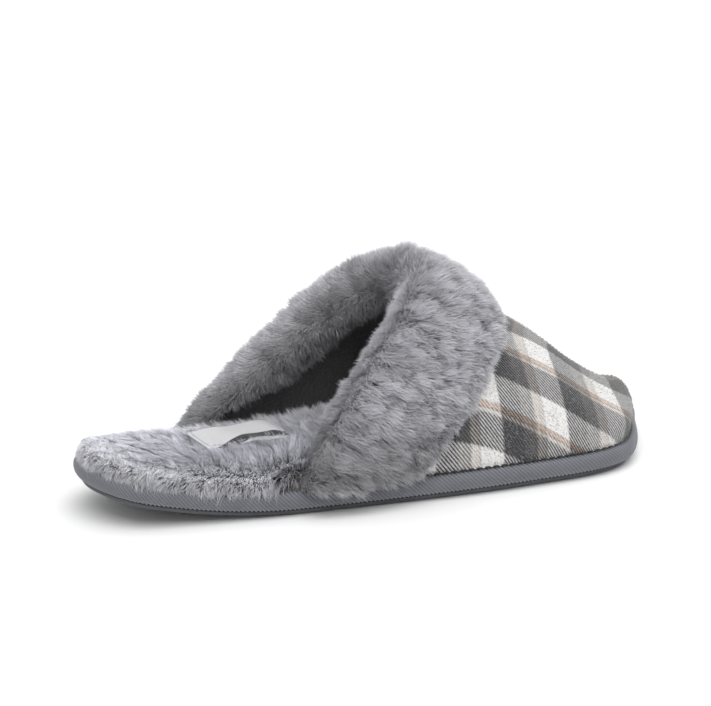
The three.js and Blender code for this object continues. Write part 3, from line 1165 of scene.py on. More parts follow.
@dataclass(frozen=True)
class Puffer:
    """Swells a padded piece with a cloth simulation, by an even pressure inside it."""

    voxel: float = 4.5
    pressure: float = 4.0
    cap: float = 3.0
    frames: int = 20

    def swell(self, piece: bpy.types.Object, held: np.ndarray) -> bpy.types.Object:
        """Remeshes and swells a piece.

        Args:
            piece: closed mesh.
            held: freedom of each of its vertices, 0 where it may not move.

        Returns:
            The same piece with its new mesh.
        """
        tree = KDTree(len(held))
        for i, vertex in enumerate(piece.data.vertices):
            tree.insert(vertex.co, i)
        tree.balance()
        remesh = piece.modifiers.new("voxels", "REMESH")
        remesh.mode, remesh.voxel_size, remesh.use_smooth_shade = "VOXEL", self.voxel * MM, True
        self.apply(piece)
        rest = self.places(piece)
        free = np.array([held[tree.find(Vector(p))[1]] for p in rest])
        self.simulate(piece)
        moved = self.places(piece) - rest
        far = np.linalg.norm(moved, axis=1)
        share = np.minimum(1, self.cap * MM / np.maximum(far, 1e-9)) * free
        piece.data.vertices.foreach_set("co", (rest + moved * share[:, None]).ravel())
        smooth = piece.modifiers.new("smooth", "SUBSURF")
        smooth.levels = smooth.render_levels = 1
        self.apply(piece)
        return piece

    def simulate(self, piece: bpy.types.Object) -> None:
        """Runs the cloth under pressure and applies it.

        Args:
            piece: the remeshed piece.
        """
        cloth = piece.modifiers.new("cloth", "CLOTH")
        cloth.settings.use_pressure = True
        cloth.settings.uniform_pressure_force = self.pressure
        cloth.settings.effector_weights.gravity = 0
        cloth.settings.quality = 5
        cloth.point_cache.frame_start, cloth.point_cache.frame_end = 1, self.frames
        for number in range(1, self.frames + 1):
            bpy.context.scene.frame_set(number)
        self.apply(piece)
        bpy.context.scene.frame_set(1)

    @staticmethod
    def apply(piece: bpy.types.Object) -> None:
        """Turns the piece's modifiers into its mesh.

        Args:
            piece: the piece.
        """
        graph = bpy.context.evaluated_depsgraph_get()
        mesh = bpy.data.meshes.new_from_object(piece.evaluated_get(graph))
        piece.modifiers.clear()
        piece.data = mesh
        mesh.polygons.foreach_set("use_smooth", np.ones(len(mesh.polygons), bool))

    @staticmethod
    def places(piece: bpy.types.Object) -> np.ndarray:
        """Vertices of a piece.

        Args:
            piece: the piece.

        Returns:
            One vertex in each row.
        """
        co = np.empty(len(piece.data.vertices) * 3, np.float32)
        piece.data.vertices.foreach_get("co", co)
        return co.reshape(-1, 3).astype(float)


# ---------------------------------------------------------------- geometry node trees


class Grower(Graph):
    """A geometry node tree that turns a carrier mesh into what repeats over it."""

    def __init__(self, name: str, sizes: dict[str, float]) -> None:
        """Starts the tree with a geometry input, named sizes and a material.

        Args:
            name: the tree's name.
            sizes: default of each named size.
        """
        super().__init__(bpy.data.node_groups.new(name, "GeometryNodeTree"))
        face = self.tree.interface
        face.new_socket(name="Geometry", in_out="INPUT", socket_type="NodeSocketGeometry")
        for size, value in sizes.items():
            socket = face.new_socket(name=size, in_out="INPUT", socket_type="NodeSocketFloat")
            socket.default_value = value
        face.new_socket(name="Unit", in_out="INPUT", socket_type="NodeSocketObject")
        face.new_socket(name="Material", in_out="INPUT", socket_type="NodeSocketMaterial")
        face.new_socket(name="Geometry", in_out="OUTPUT", socket_type="NodeSocketGeometry")
        self.entry = self.tree.nodes.new("NodeGroupInput")

    def given(self, name: str) -> Wire:
        """One of the tree's inputs."""
        return Wire(self, self.entry.outputs[name])

    def named(self, name: str, kind: str = "FLOAT") -> Wire:
        """A named attribute."""
        return self.add("GeometryNodeInputNamedAttribute", {"data_type": kind}, {"Name": name})

    def store(self, geometry: Wire, name: str, value: Wire, kind: str = "FLOAT",
              domain: Domain = Domain.POINT) -> Wire:
        """Stores a named attribute on a geometry.

        Args:
            geometry: the geometry.
            name: the attribute's name.
            value: its value.
            kind: its data type.
            domain: where it lives.

        Returns:
            The geometry with the attribute.
        """
        settings = {"data_type": kind, "domain": domain.value}
        return self.add("GeometryNodeStoreNamedAttribute", settings,
                        {"Geometry": geometry, "Name": name, "Value": value})

    def unit(self) -> Wire:
        """The mesh that repeats."""
        return self.add("GeometryNodeObjectInfo", {}, {"Object": self.given("Unit")}, "Geometry")

    def close(self, instances: Wire) -> None:
        """Ends the tree: realizes the instances and sets the material."""
        self.finish(self.add("GeometryNodeRealizeInstances", {}, {"Geometry": instances}))

    def finish(self, geometry: Wire) -> None:
        """Sets the material and links the result.

        Args:
            geometry: the finished geometry.
        """
        dressed = self.add("GeometryNodeSetMaterial", {},
                           {"Geometry": geometry, "Material": self.given("Material")})
        smooth = self.add("GeometryNodeSetShadeSmooth", {}, {"Geometry": dressed})
        self.tree.links.new(smooth.socket, self.tree.nodes.new("NodeGroupOutput").inputs[0])

    def grow(self, carrier: bpy.types.Object, name: str, unit: bpy.types.Object,
             material: bpy.types.Material, sizes: dict[str, float]) -> bpy.types.Object:
        """Runs the tree on a carrier and keeps the result as a plain mesh.

        Args:
            carrier: mesh that carries the pattern; it is removed.
            name: the new piece's name.
            unit: the mesh that repeats.
            material: the result's material.
            sizes: the tree's inputs by name.

        Returns:
            The new piece.
        """
        modifier = carrier.modifiers.new("grow", "NODES")
        modifier.node_group = self.tree
        values = {**sizes, "Unit": unit, "Material": material}
        for item in self.tree.interface.items_tree:
            if item.in_out == "INPUT" and item.name in values:
                modifier[item.identifier] = values[item.name]
        graph = bpy.context.evaluated_depsgraph_get()
        mesh = bpy.data.meshes.new_from_object(
            carrier.evaluated_get(graph), preserve_all_data_layers=True, depsgraph=graph)
        carrier.modifiers.clear()
        bpy.data.objects.remove(carrier)
        mesh.name = name
        piece = bpy.data.objects.new(name, mesh)
        bpy.context.scene.collection.objects.link(piece)
        return piece


class PileGrower(Grower):
    """Grows fur: tapered hairs that lean with the nap and gather into locks."""

    swirl_scale: float = 105.0
    map_width: float = 0.006

    def __init__(self) -> None:
        """Builds the tree."""
        super().__init__("pile", {"Density": 5e6, "Width": 0.0003, "Lock": 0.007, "Gather": 0.5,
                                  "Wisp": 0.0025, "Swirl": 0.5, "Jitter": 0.001, "Seed": 1.0})
        spread = self.add("GeometryNodeDistributePointsOnFaces", {"distribute_method": "RANDOM"},
                          {"Mesh": self.given("Geometry"),
                           "Density": self.given("Density") * self.named("thick"),
                           "Seed": self.whole(self.given("Seed"))})
        normal = self.named("grow", "FLOAT_VECTOR").unit()
        roots = self.marked(spread, normal)
        comb = self.named("comb", "FLOAT_VECTOR")
        turn = self.add("FunctionNodeAxesToRotation", {"primary_axis": "Z", "secondary_axis": "Y"},
                        {"Primary Axis": normal, "Secondary Axis": comb})
        twist = self.chance(-0.8, 0.8, 11)
        spin = self.add("ShaderNodeCombineXYZ", {}, {"Z": twist})
        turned = self.add("FunctionNodeRotateRotation", {"rotation_space": "LOCAL"},
                          {"Rotation": turn, "Rotate By": spin})
        hairs = self.add("GeometryNodeInstanceOnPoints", {},
                         {"Points": roots, "Instance": self.unit(), "Rotation": turned,
                          "Scale": self.given("Width") * self.chance(0.7, 1.3, 5)})
        real = self.add("GeometryNodeRealizeInstances", {}, {"Geometry": hairs})
        shaped = self.add("GeometryNodeSetPosition", {}, {"Geometry": real, "Offset": self.bend()})
        self.finish(self.store(shaped, PILE_MAP, self.mapped(), "FLOAT2", Domain.CORNER))

    def mapped(self) -> Wire:
        """Place on the map: the hair's shade across, which carries its tone and painted shade, and its height
        upwards.

        Returns:
            The place's wire.
        """
        across = self.named("shade") * MAP_SPAN + MAP_MARGIN + self.named("side") * self.map_width
        upright = self.named("height") * MAP_SPAN + MAP_MARGIN
        return self.add("ShaderNodeCombineXYZ", {}, {"X": across, "Y": upright})

    def whole(self, number: Wire) -> Wire:
        """Number as an integer."""
        return self.add("FunctionNodeFloatToInt", {}, {0: number})

    def chance(self, low: float, high: float, seed: int) -> Wire:
        """Random number for each hair."""
        return self.add("FunctionNodeRandomValue", {"data_type": "FLOAT"},
                        {2: low, 3: high, 8: self.whole(self.given("Seed") + seed)}, 1)

    def locks(self, size: Wire) -> tuple[Wire, Wire]:
        """Pull towards the middle of the lock that a root belongs to, and the lock's own colour.

        Args:
            size: size of a lock.

        Returns:
            The pull and the colour.
        """
        place = self.add("GeometryNodeInputPosition")
        cell = self.add("ShaderNodeTexVoronoi", {}, {"Vector": place / size, "Scale": 1.0}, "Position")
        colour = Wire(self, cell.socket.node.outputs["Color"])
        return cell * size - place, colour

    def marked(self, roots: Wire, normal: Wire) -> Wire:
        """Stores on each root what its hair needs.

        Args:
            roots: the points.
            normal: the direction in which each hair rises.

        Returns:
            The points with their attributes.
        """
        pull, colour = self.locks(self.given("Lock"))
        wisp, _ = self.locks(self.given("Wisp"))
        place = self.add("GeometryNodeInputPosition")
        swirl = self.noise(place, self.swirl_scale, 1.0, 1) - (0.5, 0.5, 0.5)
        own = colour - (0.5, 0.5, 0.5)
        jitter = self.add("FunctionNodeRandomValue", {"data_type": "FLOAT_VECTOR"},
                          {0: (-1.0, -1.0, -1.0), 1: (1.0, 1.0, 1.0), 8: self.whole(self.given("Seed") + 3)})
        comb = self.named("comb", "FLOAT_VECTOR")
        reach = self.add("ShaderNodeVectorMath", {"operation": "LENGTH"}, {0: comb}, "Value")
        stray = (swirl * 2.2 + own * 0.7) * (reach * self.given("Swirl") * 1.4)
        gather = (pull * 0.6 + wisp * 0.9) * self.given("Gather")
        aim = comb + stray + gather + jitter * self.given("Jitter")
        tangent = aim - normal * aim.dot(normal)
        long = self.chance(0.7, 1.1, 7) * (own.part("X") * 0.3 + 1.0)
        # Tone of the hair: the carrier's shade, which carries painted shade, plus a random tone for its lock
        # and itself.
        tone = self.named("shade") + own.part("Y") * 0.24 + self.chance(-0.16, 0.16, 9)
        tone = self.add("ShaderNodeClamp", {}, {0: tone})
        geometry = self.store(roots, "aim", tangent, "FLOAT_VECTOR")
        geometry = self.store(geometry, "long", long)
        return self.store(geometry, "shade", tone)

    def bend(self) -> Wire:
        """Offset of a hair's vertex: it rises, then lies over with the nap.

        Returns:
            The offset.
        """
        height, long = self.named("height"), self.named("long")
        up = 1 - (1 - height) ** 1.5
        over = height ** 1.5
        risen = self.named("grow", "FLOAT_VECTOR") * (up * long)
        return risen + self.named("aim", "FLOAT_VECTOR") * (over * long)


class FuzzGrower(PileGrower):
    """Grows the short fuzz of brushed cloth, each fibre in the colour of the cloth at its root."""

    map_width: float = 0.0006

    def mapped(self) -> Wire:
        """Place on the map: the cloth's own place, a fibre wide."""
        fibre = self.add("ShaderNodeCombineXYZ", {}, {"X": self.named("side"), "Y": self.named("height")})
        return self.named("cloth", "FLOAT_VECTOR") + fibre * self.map_width


class StitchGrower(Grower):
    """Sets a stitch at even steps along a line of edges."""

    def __init__(self) -> None:
        """Builds the tree."""
        super().__init__("stitches", {"Pitch": 0.004, "Size": 1.0})
        curve = self.add("GeometryNodeMeshToCurve", {}, {"Mesh": self.given("Geometry")})
        even = self.add("GeometryNodeResampleCurve", {"mode": "LENGTH"},
                        {"Curve": curve, "Length": self.given("Pitch")})
        tangent = self.add("GeometryNodeInputTangent")
        turn = self.add("FunctionNodeAxesToRotation", {"primary_axis": "X", "secondary_axis": "Z"},
                        {"Primary Axis": tangent, "Secondary Axis": (0.0, 0.0, 1.0)})
        self.close(self.add("GeometryNodeInstanceOnPoints", {},
                            {"Points": even, "Instance": self.unit(),
                             "Rotation": turn, "Scale": self.given("Size")}))


class TreadGrower(Grower):
    """Sets a bar at each point of a carrier, turned by the carrier's own angle."""

    def __init__(self) -> None:
        """Builds the tree."""
        super().__init__("tread", {"Size": 1.0})
        spin = self.add("ShaderNodeCombineXYZ", {}, {"Z": self.named("angle")})
        turn = self.add("FunctionNodeEulerToRotation", {}, {0: spin})
        self.close(self.add("GeometryNodeInstanceOnPoints", {},
                            {"Points": self.given("Geometry"), "Instance": self.unit(),
                             "Rotation": turn, "Scale": self.given("Size")}))


@dataclass(frozen=True)
class Nap:
    """How thickly a pile stands, and how its hairs gather and stray; lengths in metres."""

    density: float
    width: float
    lock: float
    gather: float
    wisp: float
    swirl: float
    jitter: float
    seed: float

    def inputs(self, strip: int = 0) -> dict[str, float]:
        """The pile tree's inputs for one strip.

        Args:
            strip: the strip's number, which moves the seed on.

        Returns:
            Values by the input's name.
        """
        return {"Density": self.density, "Width": self.width, "Lock": self.lock, "Gather": self.gather,
                "Wisp": self.wisp, "Swirl": self.swirl, "Jitter": self.jitter, "Seed": self.seed + strip}


def hair_unit(segments: int = 2) -> bpy.types.Object:
    """Ribbon of one hair, flat at its root; its height is an attribute.

    Args:
        segments: pieces along the hair; the last one is a point.

    Returns:
        The hair.
    """
    heights = np.linspace(0, 1, segments + 1)
    widths = 0.5 * (1 - 0.45 * heights[:-1])
    points, height, side = [], [], []
    for level, width in zip(heights[:-1], widths):
        points += [(-width, 0, 0), (width, 0, 0)]
        height += [level, level]
        side += [-1, 1]
    points.append((0, 0, 0))
    height.append(1.0)
    side.append(0)
    faces = [(2 * i, 2 * i + 1, 2 * i + 3, 2 * i + 2) for i in range(segments - 1)]
    faces.append((2 * segments - 2, 2 * segments - 1, 2 * segments))
    unit = make_piece("hair_unit", np.array(points, float), faces)
    set_values(unit, "height", np.array(height))
    set_values(unit, "side", np.array(side, float))
    return unit


def set_values(piece: bpy.types.Object, name: str, values: np.ndarray) -> None:
    """Stores a number or a vector for each vertex.

    Args:
        piece: the piece.
        name: the attribute's name.
        values: one value or vector for each vertex.
    """
    kind, key = ("FLOAT", "value") if values.ndim == 1 else ("FLOAT_VECTOR", "vector")
    attribute = piece.data.attributes.new(name, kind, "POINT")
    attribute.data.foreach_set(key, values.astype(np.float32).ravel())


def capsule_unit(name: str, length: float, width: float, height: float) -> bpy.types.Object:
    """Rounded bar along X with its underside on the origin, sizes in millimetres.

    Args:
        name: the unit's name.
        length: its length.
        width: its width.
        height: its height.

    Returns:
        The bar.
    """
    sides, stations = 6, [(-0.5, 0.35), (-0.38, 0.85), (0.0, 1.0), (0.38, 0.85), (0.5, 0.35)]
    angles = np.arange(sides) * 2 * math.pi / sides
    rings = [[(place * length, full * width / 2 * math.cos(a), height / 2 * (full * math.sin(a) + 1))
              for a in angles] for place, full in stations]
    return loft(name, np.array(rings) * MM, crease=80.0)


# ---------------------------------------------------------------- sub-assemblies


@dataclass
class SoleUnit:
    """Rubber outsole, foam midsole, board and the ribbed tape round their edge."""

    plan: SolePlan
    points: int = 240
    bevel: float = 0.8
    tread_depth: float = 0.7
    tread_pitch: float = 7.5
    tread_margin: float = 13.0
    rib_pitch: float = 1.75
    rib_depth: float = 0.55
    rib_slant: float = -7.0
    samples_per_rib: int = 7
    tape_rows: int = 22

    def slab(self, name: str, section: Sequence[tuple[Profile, Profile]]) -> bpy.types.Object:
        """Layer of the sole through [inset, height] pairs.

        Args:
            name: the piece's name.
            section: the pairs from the underside upwards.

        Returns:
            The layer.
        """
        rings = [self.plan.ring(inset, height, self.points) for inset, height in section]
        return loft(name, self.plan.to_frame(np.array(rings)))

    def build_outsole(self) -> None:
        """Builds the rubber sheet and the tread bars under it."""
        plan, rubber = self.plan, RubberFinish().make()
        inset, base = plan.outsole_inset, self.tread_depth
        sheet = self.slab("outsole_sheet", [
            (inset + self.bevel, base), (inset + 0.25, base + 0.2), (inset, base + self.bevel),
            (inset, plan.outsole - 0.2), (inset + 0.2, plan.outsole)])
        dress(sheet, rubber, "outsole_rubber", "outsole")
        bars = TreadGrower().grow(self.tread_points(), "outsole_tread",
                                  capsule_unit("bar_unit", 5.6, 1.8, 1.5), rubber, {"Size": 1.0})
        dress(bars, rubber, "outsole_rubber")

    def tread_points(self) -> bpy.types.Object:
        """Points of the tread: a herringbone inside the outsole's edge.

        Returns:
            A carrier with one vertex for each bar.
        """
        plan, pitch = self.plan, self.tread_pitch
        rim = plan.edge(np.linspace(0, 1, 400, endpoint=False), self.tread_margin)
        places, angles = [], []
        for row, x in enumerate(np.arange(pitch, plan.length - pitch, pitch * 0.62)):
            near = rim[np.abs(rim[:, 0] - x) < 3.0]
            if len(near) < 2:
                continue
            span = (near[:, 1].min(), near[:, 1].max())
            for column, y in enumerate(np.arange(span[0], span[1], pitch)):
                places.append((x, y, plan.lift(np.array(x))))
                angles.append(math.radians(35 if (column + row // 2) % 2 else -35))
        points = plan.to_frame(np.array(places, float))
        carrier = make_piece("tread_points", points, [])
        set_values(carrier, "angle", np.array(angles))
        return carrier

    def build_core(self) -> None:
        """Builds the midsole and the board, which the tape hides."""
        plan = self.plan
        skin = plan.wrap + plan.clearance
        margin, top = plan.wrap_margin + plan.clearance, plan.midsole_base + skin
        arc = [self.arc(angle, skin) for angle in np.radians(np.linspace(-75, 75, 9))]
        midsole = self.slab("midsole_foam", [(margin, plan.midsole_base), (margin, top), *arc])
        dress(midsole, FoamFinish("midsole_foam", (0.66, 0.65, 0.61), 0.5).make(), "midsole_foam", "midsole")
        inset = plan.wrap_lip + plan.clearance
        board = self.slab("board_sheet", [(inset + 0.2, plan.lip_base), (inset, plan.lip_base + 0.2),
                                          (inset, plan.lip_base + plan.board - 0.2),
                                          (inset + 0.2, plan.lip_base + plan.board)])
        dress(board, BoardFinish().make(), "board", "insole_board")

    def arc(self, angle: float, depth: float) -> tuple[float, float]:
        """Inset and height of the wrapped edge at an angle, for a skin at some depth.

        Args:
            angle: angle from the level, in radians.
            depth: depth under the tape's outside.

        Returns:
            The inset and the height.
        """
        plan = self.plan
        middle = (plan.midsole_base + plan.lip_top) / 2
        rise = (plan.lip_top - plan.midsole_base) / 2 - depth
        bulge = plan.wrap_bulge
        return bulge + depth - bulge * math.cos(angle), middle + rise * math.sin(angle)

    def build_tape(self) -> None:
        """Builds the tape with its slanted ribs as real relief."""
        plan = self.plan
        around = float(np.linalg.norm(np.diff(plan.line, axis=0), axis=1).sum())
        ribs = round(around / self.rib_pitch)
        count = ribs * self.samples_per_rib
        arc = [self.arc(angle, 0.0) for angle in np.radians(np.linspace(-80, 80, self.tape_rows - 5))]
        section = [(plan.wrap_margin, plan.midsole_base), (7.0, plan.midsole_base), *arc,
                   (3.4, plan.lip_top), (plan.wrap_lip, plan.lip_top), (plan.wrap_lip, plan.lip_base)]
        shares = (np.arange(count) + 0.5) / count
        rings, grooves = zip(*(self.tape_ring(shares, inset, height, ribs) for inset, height in section))
        tape = make_piece("wrap_tape", plan.to_frame(np.array(rings)).reshape(-1, 3),
                          grid_faces(len(section), count, True, True), 70.0)
        set_values(tape, "groove", np.array(grooves).ravel())
        dress(tape, TapeFinish().make(), "wrap_tape", "sole_wrap")

    def tape_ring(self, shares: np.ndarray, inset: float, height: float,
                  ribs: int) -> tuple[np.ndarray, np.ndarray]:
        """One line of the tape, raised and sunk by the ribs.

        Args:
            shares: shares of the way round.
            inset: the line's inset.
            height: its height over the floor line.
            ribs: number of ribs round the sole.

        Returns:
            The line's points, and how deep in a groove each of them lies, from 0 to 1.
        """
        plan = self.plan
        level = (height - plan.midsole_base) / (plan.lip_top - plan.midsole_base)
        outer = float(inset < plan.wrap_bulge + 1.0 and 0 < level <= 1.0)
        phase = 2 * math.pi * (shares * ribs + (1 - level) * self.rib_slant / self.rib_pitch)
        groove = outer * (0.5 - 0.5 * np.cos(phase)) ** 1.3
        relief = -self.rib_depth * groove
        middle = (plan.midsole_base + plan.lip_top) / 2
        tilt = np.clip((height - middle) / (plan.lip_top - middle), -1, 1)
        away = relief * math.sqrt(max(0.0, 1 - tilt * tilt))
        flat = plan.edge(shares, inset - away)
        return np.column_stack([flat, height + plan.lift(flat[:, 0]) + relief * tilt * 0.8]), groove

    def build(self) -> None:
        """Builds every layer of the sole."""
        self.build_outsole()
        self.build_core()
        self.build_tape()


@dataclass
class Footbed:
    """Foam under the foot and the plush sock drawn over it."""

    plan: FootbedPlan
    points: int = 240
    wall: float = 4.0
    ease: float = 1.5
    foam_bevel: float = 1.5
    loose: float = 0.6
    cut: float = 0.72
    reach: float = 3.4
    wall_steps: int = 4
    label: tuple[float, float, float] = (68.0, 17.0, 9.0)
    wall_rise: float = 2.8
    strips: tuple[tuple[float, float], ...] = ((-10.0, 45.0), (45.0, 95.0), (95.0, 260.0))
    nap: Nap = Nap(8.0e6, 0.0003, 0.0046, 0.5, 0.0018, 0.5, 0.0012, 20.0)

    def ring(self, inset: float, height: Profile, count: int = 240) -> np.ndarray:
        """Ring of the footbed at an inset from its own edge."""
        return self.plan.sole.ring(self.plan.inset(inset), height, count)

    def build_foam(self) -> None:
        """Builds the comfort foam, which the sock hides."""
        sole, top = self.plan.sole, self.plan.sole.foam_top
        rings = [self.ring(self.wall + self.ease + extra, height) for extra, height in
                 ((0.3, sole.seat), (0, sole.seat + 0.3), (0, top - self.foam_bevel),
                  (0.5, top - 0.4), (self.foam_bevel, top))]
        foam = loft("comfort_foam", sole.to_frame(np.array(rings)))
        finish = FoamFinish("comfort_foam", (0.76, 0.73, 0.64), 0.9)
        dress(foam, finish.make(), "comfort_foam", "footbed_foam")

    def crown(self) -> list[tuple[float, float]]:
        """Crown of the sock: distance in from its wall and share of its height."""
        return [(1.8, 0.1), (2.8, 0.45), (5.4, 0.78), (10.5, 0.95), (17.0, 1.0)]

    def build_sock(self) -> None:
        """Builds the sock's backing as a crowned pad and swells it."""
        sole, inner = self.plan.sole, self.wall + self.ease - self.loose
        low = [(inner + self.foam_bevel, sole.foam_top + self.loose), (inner, sole.foam_top - 1.2),
               (inner, sole.seat), (self.loose, sole.seat)]
        rings = [self.ring(inset, height) for inset, height in low]
        held = [0.0] * len(low)
        for inset, share in self.crown():
            rings.append(self.ring(inset + 0.8, self.plan.top(share, self.cut)))
            held.append(min(1.0, 0.3 + share))
        sock = loft("footbed_sock", sole.to_frame(np.array(rings)))
        Puffer(voxel=2.3, cap=1.4).swell(sock, np.repeat(held, self.points))
        # The backing's dark grey stands partly for the knit itself and partly for painted shade deep in the
        # pile.
        dress(sock, BackingFinish("sock_backing", (0.16, 0.16, 0.175)).make(), "footbed_plush", "footbed_fur")

    def carrier(self, steps: int = 26, count: int = 360) -> tuple[np.ndarray, np.ndarray, np.ndarray]:
        """Surface that the pile grows from.

        Args:
            steps: lines from the wall's foot to the middle.
            count: points round each line.

        Returns:
            The points of each line, their insets and their shares of the crown.
        """
        stops = np.array([(1.7, 0.0), *self.crown(), (48.0, 1.0)])
        run = np.linspace(0, 1, steps) ** 1.5 * (len(stops) - 1)
        inset, share = (np.interp(run, np.arange(len(stops)), column) for column in stops.T)
        sole = self.plan.sole
        wall = np.linspace(sole.seat, sole.foam_top, self.wall_steps, endpoint=False)
        lines = [self.ring(0.5 + 1.3 * k / self.wall_steps, float(level), count)
                 for k, level in enumerate(wall)]
        lines += [self.ring(a, self.plan.top(b, self.cut), count) for a, b in zip(inset, share)]
        low = np.zeros(self.wall_steps)
        return np.array(lines), np.r_[low, inset], np.r_[low, share]

    def build_pile(self, grower: PileGrower, unit: bpy.types.Object, fur: bpy.types.Material) -> None:
        """Grows the sock's pile in strips from heel to toe.

        Args:
            grower: the fur's tree.
            unit: one hair.
            fur: the fur's material.
        """
        lines, inset, crown = self.carrier()
        outwards = lines - lines[-1]
        outwards[..., 2] = 0
        outwards /= np.maximum(np.linalg.norm(outwards, axis=2, keepdims=True), 1e-6)
        x = lines[..., 0]
        edge_share = (1 - smoothstep(inset, 4.0, 30.0))[:, None, None]
        back = smoothstep(x, 4.0, 30.0)[..., None]
        backwards = np.array([-1.1, 0.0, 0.0]) * (1 - edge_share)
        nap = outwards * (0.2 + 0.6 * edge_share) * back + backwards * back
        beside_cuff = 1 - smoothstep(lines[0][:, 0], 95.0, 125.0)
        gap = (self.plan.inset(0.0)(lines[0]) - self.plan.inset_heel) * beside_cuff
        foot = (1 - smoothstep(inset, 0.0, 4.0))[:, None]
        crest = self.plan.depth(x) * self.cut * crown[:, None]
        crest = crest * (0.68 + 0.32 * smoothstep(x, 2.0, 30.0))
        rise = np.maximum(crest, (self.wall_rise * (0.4 + 0.6 * back[..., 0]) + 0.7 * gap) * foot)
        wall, top = np.linspace(0.15, 0.5, self.wall_steps), smoothstep(inset[self.wall_steps:], 0, 14)
        level = np.r_[wall, 0.6 + 0.4 * top]
        tilt = (level * math.pi / 2)[:, None, None]
        grow = (outwards * np.cos(tilt) + np.array([0, 0, 1.0]) * np.sin(tilt)) * rise[..., None]
        low = (1 - smoothstep(level, 0.15, 0.75))[:, None]
        comb = nap * self.reach + low[..., None] * np.array([0.0, 0.0, -3.0])
        thick = (1 - 0.75 * smoothstep(x, 150.0, 200.0)) * (1.5 - 0.5 * smoothstep(x, 12.0, 50.0))
        place, length, width = self.label
        under = np.maximum(np.abs(x - place) / length, np.abs(lines[..., 1]) / width)
        grow = grow * (1 - 0.75 * (1 - smoothstep(under, 0.8, 1.0)))[..., None]
        # Painted shade: darker where the pile runs in under the cuff and the vamp, and darker low on the wall
        # beside the tape; the slow wave along the sole is a tone of the fur.
        shade = 0.78 + 0.06 * np.cos(x / 31.0) - 0.5 * smoothstep(x, 100.0, 150.0) - 0.62 * low
        values = {"comb": comb * MM, "grow": grow * MM, "thick": thick, "shade": shade}
        along = x.mean(0)
        for number, (start, end) in enumerate(self.strips):
            kept = (along >= start) & (along < end)
            carrier = strip_carrier(self.plan.sole.to_frame(lines), values, kept)
            name = f"footbed_pile_{number + 1}"
            pile = grower.grow(carrier, name, unit, fur, self.nap.inputs(number))
            dress(pile, fur, "footbed_plush")


def strip_carrier(points: np.ndarray, values: dict[str, np.ndarray], kept: np.ndarray) -> bpy.types.Object:
    """Open grid with attributes, cut down to some of its columns.

    Args:
        points: grid of points in metres; its columns close on themselves.
        values: attributes over the grid.
        kept: which columns start a kept face.

    Returns:
        The carrier, with its faces turned outwards.
    """
    rows, columns = points.shape[:2]
    faces = [face for face in grid_faces(rows, columns, False, True) if kept[face[0] % columns]]
    carrier = make_piece("carrier", points.reshape(-1, 3), faces)
    for name, value in values.items():
        full = np.broadcast_to(value, (rows, columns, *value.shape[2:]))
        set_values(carrier, name, full.reshape(rows * columns, -1).squeeze())
    return carrier


